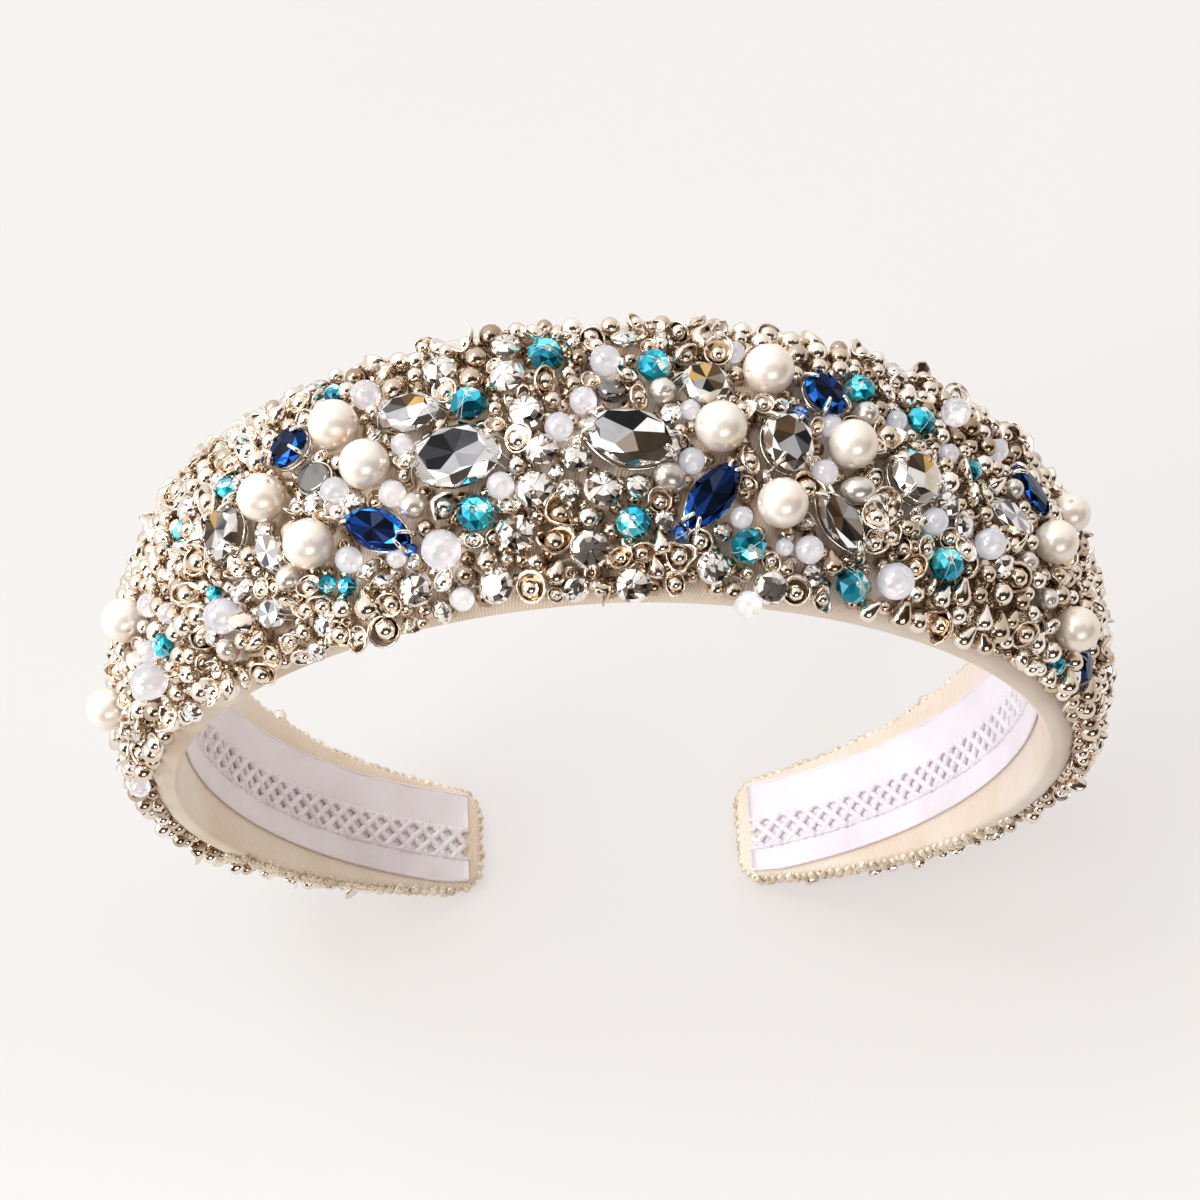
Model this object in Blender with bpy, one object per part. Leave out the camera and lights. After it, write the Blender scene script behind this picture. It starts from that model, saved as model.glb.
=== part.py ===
"""Embroidered headband: a padded satin horseshoe paved with silver seed beads, with pearls,
blue stones, crystals, rondelles and threads of larger beads set among them.

Metres, +Z up. It stands on its two tips with the crown on top. +X is to the wearer's left side
of the arch as seen from the front, the front edge is towards -Y, the back edge towards +Y.
Every place on the band is given as an arc position along it from the crown, an offset across it,
and a height above the satin."""

import math

import bmesh
import bpy
import numpy as np
from mathutils import Matrix, Vector

MM = 0.001

# ------------------------------------------------------------------ driving dimensions, mm
HALF_LENGTH = 188.0  # along the inner face, crown to tip
BEND_RADIUS = ((0.00, 55.0), (0.25, 74.0), (0.50, 70.0), (0.75, 72.0), (1.00, 60.0))  # share of the half length, radius
HALF_WIDTH = (19.8, 17.7, 9.0)  # at the crown, half way, at the tip
BACK_INSET = 1.0  # the satin's back edge lies this much further in, under the last row of beads
PAD_THICK = (7.4, 7.6, 4.4)  # satin pad on its middle line, at the same three places
RIM_THICK = 3.2  # satin pad at its long edges
PAD_POWER = 2.4  # how flat the pad's crown is across
STATIONS = 20  # sections on each half of the band
TIP_ROUND = 4.0  # corner radius of the tips, seen flat
TIP_EDGE = 1.4  # rounding of the tips' end edges
FOOT_FLAT = 1.8  # how much the satin is pressed flat where it stands

RIBBON_HALF = 8.6  # half the ribbon's width
RIBBON_MIDDLE = -0.3  # its middle line, towards the front edge
RIBBON_THICK = 0.8
GAP = 0.3  # clearance between pieces

GROUND = 0.6  # the stitched ground under every stone
PAVE_CROWN = 2.5  # seed beads over the ground, from the crown to half way
PAVE_TIP = 0.9  # and at the tips
PAVE_STOP = 9.0  # the seed beads stop this short of each tip
PAVE_OVERHANG = (1.1, 0.6)  # how far they lap the front edge, at the crown and on the legs
PAVE_BACK = 0.8  # and the back edge
SEAT = GAP + GROUND + GAP  # underside of a stone over the satin
CLEAR = 0.35  # pocket clearance round a stone
THREAD_RADIUS = 0.4
THREAD_HEIGHT = 3.9  # thread over the satin, through the beads' middles
TRAY_THICK = 0.5
PRONG_WIDE = 0.9
PRONG_DEEP = 0.45

# ------------------------------------------------------------------ stones
# name, arc position, offset across, long axis, short axis, turn in degrees (all mm but the turn)
PEARLS = (
    ("pearl_01", -31.5, 6.3, 6.7),
    ("pearl_02", -27.2, -0.7, 6.6),
    ("pearl_03", -41.6, -0.1, 6.5),
    ("pearl_04", -34.9, -8.6, 6.6),
    ("pearl_05", -73.2, -3.2, 6.4),
    ("pearl_06", -86.2, -9.5, 6.4),
    ("pearl_07", 11.6, -0.4, 6.7),
    ("pearl_08", 17.7, 8.5, 6.7),
    ("pearl_09", 26.9, -0.3, 6.5),
    ("pearl_10", 18.1, -9.4, 6.5),
    ("pearl_11", 68.5, 5.6, 5.8),
    ("pearl_12", 61.0, -2.2, 6.2),
    ("pearl_13", 67.0, -11.4, 6.4),
)
RONDELLES = (
    ("teal_01", -6.8, 11.8, 4.8),
    ("teal_02", -15.5, 5.6, 4.9),
    ("teal_03", 5.2, 9.4, 4.6),
    ("teal_04", -15.0, -9.4, 4.9),
    ("teal_05", 2.1, -12.0, 4.5),
    ("teal_06", 14.8, -14.3, 4.6),
    ("teal_07", 27.9, -17.0, 4.7),
    ("teal_08", 40.8, -11.8, 4.8),
    ("teal_09", 30.2, 9.8, 4.3),
)
# name, arc position, offset across, long axis, short axis, turn, outline, metal setting
CUT_STONES = (
    ("sapphire_01", -38.7, 6.4, 6.2, 6.2, 0, "oval", True),
    ("sapphire_02", -26.6, -8.9, 10.8, 5.6, -32, "navette", True),
    ("sapphire_03", 10.6, -8.8, 11.2, 5.4, 54, "navette", True),
    ("sapphire_04", 24.8, 7.2, 6.8, 6.0, -70, "oval", True),
    ("sapphire_05", 58.2, 4.6, 8.8, 4.8, -30, "navette", True),
    ("sapphire_06", 75.8, -13.0, 5.2, 4.0, -30, "oval", False),
    ("crystal_01", -16.8, -1.9, 11.6, 8.6, -5, "oval", False),
    ("crystal_02", 2.1, -1.8, 12.4, 7.8, -17, "navette", True),
    ("crystal_03", -22.7, 6.3, 9.0, 6.2, -12, "oval", False),
    ("crystal_04", -49.0, -1.8, 8.0, 7.0, -85, "oval", True),
    ("crystal_05", -41.9, -6.9, 7.0, 4.6, -65, "navette", False),
    ("crystal_06", 10.7, 6.8, 6.8, 6.8, 0, "oval", False),
    ("crystal_07", 19.3, -1.1, 8.8, 7.2, -85, "oval", True),
    ("crystal_08", 25.6, -10.0, 9.8, 5.2, -48, "navette", True),
    ("crystal_09", 35.5, -2.2, 8.4, 7.8, 18, "oval", True),
    ("crystal_10", 53.0, -1.4, 9.0, 5.0, -9, "navette", False),
    ("crystal_11", -35.1, 0.9, 5.8, 4.6, -20, "disc", False),
    ("crystal_12", -43.2, -14.1, 5.0, 4.4, -20, "oval", False),
)
# name of the thread, then its beads in order: arc position, offset across, diameter (0 = only a turn of the thread)
THREADS = (
    ("chaton_thread_left", ((-22.8, -16.7, 4.4), (-13.5, -17.8, 4.7), (-2.8, -15.0, 5.0), (-1.1, -8.1, 4.8))),
    ("chaton_thread_right", ((1.8, -18.9, 4.6), (10.7, -17.0, 4.3), (17.5, -18.5, 4.5))),
    (
        "chaton_thread_middle",
        (
            (-10.5, -12.6, 4.8),
            (-8.3, -7.7, 5.0),
            (-7.4, -2.7, 4.3),
            (-9.0, 2.8, 4.8),
            (-11.1, 8.6, 4.9),
            (-11.4, 13.6, 4.2),
            (-19.1, 11.4, 4.7),
        ),
    ),
    ("opal_thread_left", ((-68.8, -13.2, 5.2), (-50.2, -12.1, 4.9))),
    (
        "opal_thread_right",
        (
            (33.0, -15.6, 4.9),
            (36.5, -10.5, 0),
            (38.7, -8.2, 0),
            (43.0, -7.6, 0),
            (47.0, -7.6, 4.3),
            (44.6, -3.0, 0),
            (43.5, 4.0, 0),
            (44.5, 10.4, 4.1),
        ),
    ),
    ("opal_thread_front", ((-19.0, -13.1, 5.2),)),
)

# ------------------------------------------------------------------ materials: colour, roughness, metallic
FINISH = {
    "satin": ((0.80, 0.68, 0.56, 1), 0.45, 0.0),
    "ribbon": ((0.83, 0.79, 0.86, 1), 0.6, 0.0),
    "silver": ((0.72, 0.66, 0.58, 1), 0.25, 1.0),
    "pearl": ((0.90, 0.82, 0.72, 1), 0.3, 0.0),
    "sapphire": ((0.02, 0.07, 0.40, 1), 0.08, 0.0),
    "crystal": ((0.35, 0.32, 0.30, 1), 0.05, 0.3),
    "teal": ((0.01, 0.33, 0.42, 1), 0.1, 0.0),
    "opal": ((0.78, 0.82, 0.90, 1), 0.25, 0.0),
    "chaton": ((0.80, 0.78, 0.76, 1), 0.05, 0.5),
}


def material(name):
    found = bpy.data.materials.get(name)
    if found:
        return found
    made = bpy.data.materials.new(name)
    made.use_nodes = True
    colour, rough, metal = FINISH[name]
    shader = made.node_tree.nodes["Principled BSDF"]
    shader.inputs["Base Color"].default_value = colour
    shader.inputs["Roughness"].default_value = rough
    shader.inputs["Metallic"].default_value = metal
    made.diffuse_color = colour
    return made


# ------------------------------------------------------------------ the band's shape
def blend3(u, values):
    """A smooth curve through three values at u = 0, 1/2 and 1."""
    a, b, c = values
    return a * (1 - u) * (1 - 2 * u) + b * 4 * u * (1 - u) + c * u * (2 * u - 1)


class Arc:
    """The inner face's middle line: a curve of changing radius in the upright X-Z plane."""

    def __init__(self, steps=2000):
        self.s = np.linspace(0, HALF_LENGTH, steps + 1)
        shares, radii = np.array(BEND_RADIUS).T
        bend = np.interp(self.s / HALF_LENGTH, shares, 1 / radii)
        step = self.s[1]
        self.turn = -np.concatenate([[0], np.cumsum((bend[1:] + bend[:-1]) / 2 * step)])
        c, n = np.cos(self.turn), np.sin(self.turn)
        self.x = np.concatenate([[0], np.cumsum((c[1:] + c[:-1]) / 2 * step)])
        self.z = np.concatenate([[0], np.cumsum((n[1:] + n[:-1]) / 2 * step)])

    def at(self, s):
        """Point on the inner face, direction along the band, and outward direction."""
        side = -1.0 if s < 0 else 1.0
        a = abs(s)
        turn = float(np.interp(a, self.s, self.turn))
        point = Vector((side * float(np.interp(a, self.s, self.x)), 0, float(np.interp(a, self.s, self.z))))
        along = Vector((math.cos(turn), 0, side * math.sin(turn)))
        out = Vector((-side * math.sin(turn), 0, math.cos(turn)))
        return point, along, out


ARC = Arc()


def half_width(s):
    return blend3(abs(s) / HALF_LENGTH, HALF_WIDTH)


def back_edge(s):
    return half_width(s) - BACK_INSET * min(1.0, (HALF_LENGTH - abs(s)) / 30)


def satin_middle(s):
    """Offset of the satin's middle line, and half its width."""
    front, back = -half_width(s), back_edge(s)
    return (front + back) / 2, (back - front) / 2


def pad_height(s, y):
    """Height of the satin's outer face over the inner face."""
    centre, half = satin_middle(s)
    share = min(abs(y - centre) / half, 1.0)
    middle = blend3(abs(s) / HALF_LENGTH, PAD_THICK)
    return RIM_THICK + (middle - RIM_THICK) * (1 - share**PAD_POWER)


def place(s, y, height):
    """A point of the band in millimetres: height is over the inner face."""
    point, _, out = ARC.at(s)
    return point + Vector((0, y, 0)) + out * height


def seat_matrix(s, y, height, turn_degrees=0.0):
    """A frame on the satin: x along the band, y across it, z out of the padded surface."""
    _, along, out = ARC.at(s)
    centre, half = satin_middle(s)
    yy = max(centre - 0.93 * half, min(centre + 0.93 * half, y))
    slope = (pad_height(s, yy + 0.2) - pad_height(s, yy - 0.2)) / 0.4
    normal = (out - Vector((0, 1, 0)) * slope).normalized()
    x = along
    yv = normal.cross(x)
    turn = math.radians(turn_degrees)
    xx = x * math.cos(turn) + yv * math.sin(turn)
    yy = -x * math.sin(turn) + yv * math.cos(turn)
    base = place(s, y, pad_height(s, y)) + normal * height
    m = Matrix.Identity(4)
    for i, axis in enumerate((xx, yy, normal)):
        for j in range(3):
            m[j][i] = axis[j]
    for j in range(3):
        m[j][3] = base[j]
    return m


# ------------------------------------------------------------------ making objects
def clear_scene():
    for obj in list(bpy.data.objects):
        bpy.data.objects.remove(obj, do_unlink=True)


def new_collection(name, hidden=False):
    made = bpy.data.collections.new(name)
    bpy.context.scene.collection.children.link(made)
    made.hide_render = hidden
    return made


def add_object(name, bm, collection, finish, smooth=True):
    """The bmesh holds millimetres in world space, or in the frame of the matrix set afterwards."""
    bmesh.ops.recalc_face_normals(bm, faces=bm.faces[:])
    bmesh.ops.scale(bm, vec=(MM, MM, MM), verts=bm.verts[:])
    mesh = bpy.data.meshes.new(name)
    bm.to_mesh(mesh)
    bm.free()
    obj = bpy.data.objects.new(name, mesh)
    collection.objects.link(obj)
    if finish:
        mesh.materials.append(material(finish))
    if smooth:
        mesh.shade_smooth()
        mesh.set_sharp_from_angle(angle=math.radians(35))
    return obj


def set_place(obj, m):
    scaled = m.copy()
    for j in range(3):
        scaled[j][3] *= MM
    obj.matrix_world = scaled


def loft(rings, bm=None):
    """A closed solid through rings of equally many points, with flat end caps."""
    bm = bm or bmesh.new()
    loops = [[bm.verts.new(p) for p in ring] for ring in rings]
    count = len(loops[0])
    for a, b in zip(loops, loops[1:]):
        for i in range(count):
            j = (i + 1) % count
            bm.faces.new((a[i], a[j], b[j], b[i]))
    bm.faces.new(list(reversed(loops[0])))
    bm.faces.new(loops[-1])
    return bm


def stations(stop):
    """Arc positions from one end to the other, closer together at the rounded ends."""
    inner = np.linspace(0, stop - TIP_ROUND, STATIONS)
    tip = [stop - TIP_ROUND * k for k in (0.55, 0.22, 0.06, 0.0)]
    half = list(inner) + tip
    return [-s for s in reversed(half[1:])] + half


def tip_narrowing(s, stop):
    """How far the half width steps in near a rounded end."""
    left = stop - abs(s)
    if left >= TIP_ROUND:
        return 0.0
    return TIP_ROUND - math.sqrt(max(TIP_ROUND**2 - (TIP_ROUND - left) ** 2, 0))


ACROSS = (-0.80, -0.55, -0.28, 0.0, 0.28, 0.55, 0.80)  # shares of the half width that carry a line


def foot_level():
    """Height of the plane that the tips stand on, in the band's own frame."""
    lowest = min(place(HALF_LENGTH - d, 0, pad_height(HALF_LENGTH - d, 0))[2] for d in np.linspace(0, 20, 81))
    return lowest + FOOT_FLAT


def make_satin_band(collection):
    level = foot_level()
    rings = []
    for s in stations(HALF_LENGTH):
        c, w = satin_middle(s)
        narrow = min(tip_narrowing(s, HALF_LENGTH), 0.8 * w - 3.0)
        left = HALF_LENGTH - abs(s)
        edge = 0.0
        if left < TIP_EDGE:
            edge = TIP_EDGE - math.sqrt(max(TIP_EDGE**2 - (TIP_EDGE - left) ** 2, 0))
        v = w - narrow
        section = [(-v + 0.8, 0.0), (-v, 0.9), (-v, 2.2), (-v + 0.7, RIM_THICK - 0.15)]
        section += [(k * v, pad_height(s, c + k * w)) for k in ACROSS]
        section += [(v - 0.7, RIM_THICK - 0.15), (v, 2.2), (v, 0.9), (v - 0.8, 0.0)]
        ring = []
        for y, h in section:
            top = pad_height(s, c)
            h = edge * 0.55 + h * (top - edge * 1.1) / top
            p = place(s, c + y, h)
            p[2] = max(p[2], level)
            ring.append(p)
        rings.append(ring)
    return add_object("satin_band", loft(rings), collection, "satin")


def make_inner_ribbon(collection):
    rings = []
    stop = HALF_LENGTH - 1.5
    for s in np.linspace(-stop, stop, 2 * STATIONS + 1):
        low = max(RIBBON_MIDDLE - RIBBON_HALF, -half_width(s) + 1.1)
        high = min(RIBBON_MIDDLE + RIBBON_HALF, back_edge(s) - 1.1)
        if stop - abs(s) < 0.1:
            low, high = low + 1.2, high - 1.2
        top, under = -GAP, -GAP - RIBBON_THICK
        ring = [(low, top), (high, top), (high, under + 0.2), (high - 0.4, under), (low + 0.4, under), (low, under + 0.2)]
        rings.append([place(s, y, h) for y, h in ring])
    return add_object("inner_ribbon", loft(rings), collection, "ribbon")


def pave_depth(s):
    u = abs(s) / HALF_LENGTH
    return PAVE_CROWN + (PAVE_TIP - PAVE_CROWN) * max(0.0, (u - 0.45) / 0.5)


def make_bead_pave(collection):
    stop = HALF_LENGTH - PAVE_STOP
    rings = []
    places = list(np.linspace(0, stop - 1.6, STATIONS)) + [stop - 0.5, stop]
    for s in [-p for p in reversed(places[1:])] + places:
        c, w = satin_middle(s)
        depth = max(pave_depth(s), PAVE_TIP)
        if stop - abs(s) < 0.1:
            depth *= 0.35
        over = GAP + GROUND + depth
        legs = min(1.0, max(0.0, (abs(s) / HALF_LENGTH - 0.2) / 0.3))
        fore = PAVE_OVERHANG[0] + (PAVE_OVERHANG[1] - PAVE_OVERHANG[0]) * legs
        inner = [(-w - GAP, 2.2), (-w + 0.45, RIM_THICK + 0.22)]
        inner += [(k * w, pad_height(s, c + k * w) + GAP + 0.02) for k in ACROSS]
        inner += [(w - 0.45, RIM_THICK + 0.22), (w + GAP, 2.2)]
        outer = [(w + PAVE_BACK, 2.3), (w + PAVE_BACK, RIM_THICK + 0.25 * over), (w - 0.9, RIM_THICK + 0.85 * over)]
        outer += [(k * w, pad_height(s, c + k * w) + over) for k in reversed(ACROSS)]
        outer += [(-w + 0.7, RIM_THICK + 0.88 * over), (-w - fore, RIM_THICK + 0.25 * over), (-w - fore, 2.3)]
        inner = [(c + y, h) for y, h in inner]
        outer = [(c + y, h) for y, h in outer]
        rings.append([place(s, y, h) for y, h in inner + outer])
    return add_object("bead_pave", loft(rings), collection, "silver")


# ------------------------------------------------------------------ stones
def outline(kind, long, short, count=12):
    """Points round a stone's girdle, a pointed boat for a navette."""
    points = []
    for i in range(count):
        a = 2 * math.pi * i / count
        c, n = math.cos(a), math.sin(a)
        if kind == "navette":
            x = math.copysign(abs(c) ** 1.15, c)
            y = n * (0.62 + 0.38 * abs(n))
            points.append((long / 2 * x, short / 2 * y))
        else:
            points.append((long / 2 * c, short / 2 * n))
    return points


def stone_height(short):
    return max(2.4, 0.46 * short)


def make_cut_stone(row, collection):
    name, s, y, long, short, turn, kind, set_in_metal = row
    girdle = outline(kind, long, short)
    tall = 2.0 if kind == "disc" else stone_height(short)
    low, mid, high = (0.85, 1.0, 0.85) if kind == "disc" else (0.42, 1.0, 0.58)
    levels = ((0.0, low), (0.5 * tall, mid), (0.62 * tall, mid), (tall, high))
    rings = [[(x * k, yy * k, z) for x, yy in girdle] for z, k in levels]
    obj = add_object(name, loft(rings), collection, name.split("_")[0], smooth=False)
    base = SEAT + (TRAY_THICK + GAP if set_in_metal else 0)
    set_place(obj, seat_matrix(s, y, base, turn))
    return obj


def make_pearl(row, collection):
    name, s, y, size = row
    bm = bmesh.new()
    bmesh.ops.create_uvsphere(bm, u_segments=10, v_segments=7, radius=size / 2)
    obj = add_object(name, bm, collection, "pearl")
    set_place(obj, seat_matrix(s, y, SEAT + size / 2))
    return obj


def make_rondelle(row, collection):
    name, s, y, size = row
    tall = 0.72 * size
    levels = ((0.0, 0.55), (0.3 * tall, 0.98), (0.7 * tall, 0.98), (tall, 0.55))
    ring = outline("round", size, size, 8)
    obj = add_object(name, loft([[(x * k, yy * k, z) for x, yy in ring] for z, k in levels]), collection, "teal", smooth=False)
    set_place(obj, seat_matrix(s, y, SEAT))
    return obj


def prong_angles(kind):
    return (0, 90, 180, 270) if kind == "navette" else (45, 135, 225, 315)


def make_setting(row, collection):
    """A thin tray under the stone with four prongs that stand up just outside its girdle."""
    name, s, y, long, short, turn, kind, _ = row
    prongs = []
    for degrees in prong_angles(kind):
        a = math.radians(degrees)
        if kind == "navette":
            p = Vector((long / 2 * math.cos(a), short / 2 * math.sin(a)))
        else:
            p = Vector((long / 2 * math.cos(a), short / 2 * math.sin(a)))
        out = Vector((math.cos(a) / long, math.sin(a) / short)).normalized()
        prongs.append((p, out))
    bm = bmesh.new()
    base, tops = [], []
    for k, (p, out) in enumerate(prongs):
        side = Vector((-out[1], out[0])) * PRONG_WIDE / 2
        a = p + out * GAP
        b = a + out * PRONG_DEEP
        root = p * 0.8
        tops.append((a - side, b - side, b + side, a + side))
        base += [root - side, a - side, b - side, b + side, a + side, root + side]
        following = prongs[(k + 1) % 4][0]
        base.append((p + following) * (0.44 if kind == "navette" else 0.42))
    floor = [bm.verts.new((q[0], q[1], 0)) for q in base]
    plates = []
    for k in range(4):
        i = 7 * k
        bm.faces.new(floor[i : i + 2] + floor[i + 4 : i + 6])
        plates.append(bm.faces.new(floor[i + 1 : i + 5]))
    bm.faces.new([floor[7 * k + j] for k in range(4) for j in (0, 5, 6)])
    grown = bmesh.ops.extrude_face_region(bm, geom=bm.faces[:])
    raised = [v for v in grown["geom"] if isinstance(v, bmesh.types.BMVert)]
    bmesh.ops.translate(bm, vec=(0, 0, TRAY_THICK), verts=raised)
    ends = []
    for face in [f for f in grown["geom"] if isinstance(f, bmesh.types.BMFace)]:
        middle = face.calc_center_median()
        for corners in tops:
            centre = sum(corners, Vector((0, 0))) / 4
            if (Vector((middle[0], middle[1])) - centre).length < 0.05:
                ends.append(face)
    rise = GAP + 0.62 * stone_height(short) + 0.5
    for face in ends:
        up = bmesh.ops.extrude_face_region(bm, geom=[face])
        moved = [v for v in up["geom"] if isinstance(v, bmesh.types.BMVert)]
        bmesh.ops.translate(bm, vec=(0, 0, rise), verts=moved)
        bmesh.ops.delete(bm, geom=[face], context="FACES_ONLY")
    obj = add_object("setting_" + name, bm, collection, "silver", smooth=False)
    set_place(obj, seat_matrix(s, y, SEAT, turn))
    return obj


# ------------------------------------------------------------------ threads of joined beads
def make_thread(name, beads, collection, helpers):
    finish = name.split("_")[0]
    spheres = []
    for k, (s, y, size) in enumerate(beads):
        if not size:
            continue
        bm = bmesh.new()
        bmesh.ops.create_uvsphere(bm, u_segments=9, v_segments=6, radius=size / 2)
        ball = add_object(f"{name}_bead_{k}", bm, helpers, finish)
        set_place(ball, seat_matrix(s, y, THREAD_HEIGHT))
        spheres.append(ball)
    if len(beads) == 1:
        ball = spheres[0]
        ball.name = name
        helpers.objects.unlink(ball)
        collection.objects.link(ball)
        return ball
    route = []
    for (s0, y0, _), (s1, y1, _) in zip(beads, beads[1:]):
        pieces = max(2, int(math.hypot(s1 - s0, y1 - y0) / 3.5))
        for i in range(pieces):
            f = i / pieces
            route.append(seat_matrix(s0 + (s1 - s0) * f, y0 + (y1 - y0) * f, THREAD_HEIGHT).translation)
    route.append(seat_matrix(beads[-1][0], beads[-1][1], THREAD_HEIGHT).translation)
    data = bpy.data.curves.new(name + "_route", "CURVE")
    data.dimensions = "3D"
    data.bevel_depth = THREAD_RADIUS * MM
    data.bevel_resolution = 1
    data.use_fill_caps = True
    line = data.splines.new("POLY")
    line.points.add(len(route) - 1)
    for point, p in zip(line.points, route):
        point.co = (p[0] * MM, p[1] * MM, p[2] * MM, 1)
    tube = bpy.data.objects.new(name + "_route", data)
    helpers.objects.link(tube)
    bpy.context.view_layer.update()
    evaluated = tube.evaluated_get(bpy.context.evaluated_depsgraph_get())
    mesh = bpy.data.meshes.new_from_object(evaluated)
    bm = bmesh.new()
    bm.from_mesh(mesh)
    bmesh.ops.remove_doubles(bm, verts=bm.verts[:], dist=1e-6)
    bmesh.ops.recalc_face_normals(bm, faces=bm.faces[:])
    bm.to_mesh(mesh)
    bm.free()
    mesh.name = name
    bpy.data.objects.remove(tube, do_unlink=True)
    mesh.materials.clear()
    mesh.materials.append(material(finish))
    obj = bpy.data.objects.new(name, mesh)
    collection.objects.link(obj)
    for ball in spheres:
        hide(ball)
        joined = obj.modifiers.new(ball.name, "BOOLEAN")
        joined.operation = "UNION"
        joined.solver = "EXACT"
        joined.object = ball
    return obj


def hide(obj):
    obj.hide_render = True
    obj.display_type = "WIRE"


# ------------------------------------------------------------------ pockets in the seed beads
def pocket(name, s, y, turn, points, helpers):
    """A straight-sided well from the stitched ground outwards."""
    rings = [[(px, py, z) for px, py in points] for z in (0.0, 14.0)]
    obj = add_object(name, loft(rings), helpers, None, smooth=False)
    set_place(obj, seat_matrix(s, y, GAP + GROUND, turn))
    hide(obj)
    return obj


def grown(points, amount):
    """An outline pushed out along its own normals."""
    out = []
    count = len(points)
    for i in range(count):
        a, b, c = (Vector(points[(i + k) % count]) for k in (-1, 0, 1))
        n1 = Vector(((b - a)[1], -(b - a)[0])).normalized()
        n2 = Vector(((c - b)[1], -(c - b)[0])).normalized()
        n = (n1 + n2).normalized()
        out.append(tuple(b + n * (amount / max(n.dot(n1), 0.6))))
    return out


def cut_pockets(pave, helpers):
    wells = []
    for name, s, y, size in PEARLS:
        wells.append(pocket(name + "_well", s, y, 0, grown(outline("round", size, size, 8), CLEAR + 0.15), helpers))
    for name, s, y, size in RONDELLES:
        wells.append(pocket(name + "_well", s, y, 22.5, grown(outline("round", size, size, 8), CLEAR + 0.1), helpers))
    for name, s, y, long, short, turn, kind, held in CUT_STONES:
        room = CLEAR + (GAP + PRONG_DEEP + 0.15 if held else 0.0)
        wells.append(pocket(name + "_well", s, y, turn, grown(outline(kind, long, short, 8 if long == short else 10), room), helpers))
    for name, beads in THREADS:
        for k, (s, y, size) in enumerate(beads):
            if size:
                wells.append(pocket(f"{name}_well_{k}", s, y, 0, grown(outline("round", size, size, 8), CLEAR + 0.1), helpers))
    for well in wells:
        cut = pave.modifiers.new(well.name, "BOOLEAN")
        cut.operation = "DIFFERENCE"
        cut.solver = "EXACT"
        cut.object = well


# ------------------------------------------------------------------ assembly
def main():
    clear_scene()
    parts = new_collection("embroidered_headband")
    helpers = new_collection("headband_helpers", hidden=True)

    make_satin_band(parts)
    make_inner_ribbon(parts)
    pave = make_bead_pave(parts)
    for row in PEARLS:
        make_pearl(row, parts)
    for row in RONDELLES:
        make_rondelle(row, parts)
    for row in CUT_STONES:
        make_cut_stone(row, parts)
        if row[7]:
            make_setting(row, parts)
    for name, beads in THREADS:
        make_thread(name, beads, parts, helpers)
    cut_pockets(pave, helpers)

    # Stand it on the tips, centred on its own box.
    bpy.context.view_layer.update()
    graph = bpy.context.evaluated_depsgraph_get()
    low, high = Vector((1e9,) * 3), Vector((-1e9,) * 3)
    for obj in parts.objects:
        evaluated = obj.evaluated_get(graph)
        for corner in evaluated.data.vertices:
            p = evaluated.matrix_world @ corner.co
            for j in range(3):
                low[j], high[j] = min(low[j], p[j]), max(high[j], p[j])
    shift = Vector((-(low[0] + high[0]) / 2, -(low[1] + high[1]) / 2, -low[2]))
    stand = bpy.data.objects.new("headband_origin", None)
    parts.objects.link(stand)
    for obj in list(parts.objects) + list(helpers.objects):
        if obj != stand:
            obj.parent = stand
    stand.location = shift


main()
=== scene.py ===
# Looks of the embroidered headband. Lengths are in millimetres in the band's own frame (crown's inner
# middle at the origin, +X along the span, +Y to the back, +Z up) until a mesh is written in metres.

import math

import bpy
import numpy as np
from mathutils import Matrix, Vector


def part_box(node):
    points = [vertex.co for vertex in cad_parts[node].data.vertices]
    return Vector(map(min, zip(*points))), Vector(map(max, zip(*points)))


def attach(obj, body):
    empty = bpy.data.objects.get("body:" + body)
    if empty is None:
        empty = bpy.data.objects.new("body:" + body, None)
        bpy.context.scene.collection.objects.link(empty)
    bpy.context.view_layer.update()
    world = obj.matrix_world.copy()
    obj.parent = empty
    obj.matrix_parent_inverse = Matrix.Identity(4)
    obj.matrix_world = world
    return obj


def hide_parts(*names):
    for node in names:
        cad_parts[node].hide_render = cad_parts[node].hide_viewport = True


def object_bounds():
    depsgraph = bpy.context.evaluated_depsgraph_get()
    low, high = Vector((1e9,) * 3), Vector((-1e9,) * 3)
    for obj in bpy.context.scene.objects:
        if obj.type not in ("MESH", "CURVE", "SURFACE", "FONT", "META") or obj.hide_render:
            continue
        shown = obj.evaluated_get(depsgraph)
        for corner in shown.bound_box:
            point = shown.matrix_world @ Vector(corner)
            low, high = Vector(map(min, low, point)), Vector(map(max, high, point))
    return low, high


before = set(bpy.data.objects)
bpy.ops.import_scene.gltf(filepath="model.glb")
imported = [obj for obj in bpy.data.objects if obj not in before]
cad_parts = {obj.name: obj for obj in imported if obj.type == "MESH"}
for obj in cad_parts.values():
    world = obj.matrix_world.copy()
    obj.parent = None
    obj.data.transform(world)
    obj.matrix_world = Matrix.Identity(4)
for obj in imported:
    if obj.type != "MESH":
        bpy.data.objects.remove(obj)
CAD_BOX = [[float(c) for c in corner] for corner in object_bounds()]
low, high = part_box("satin_band")
SHIFT = np.array([(low.x + high.x) / 2, (low.y + high.y) / 2 + 0.0005, high.z - 0.0074]) * 1000
FLOOR_Z = -SHIFT[2]  # the floor's height in the band's frame
MM = 0.001

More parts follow.
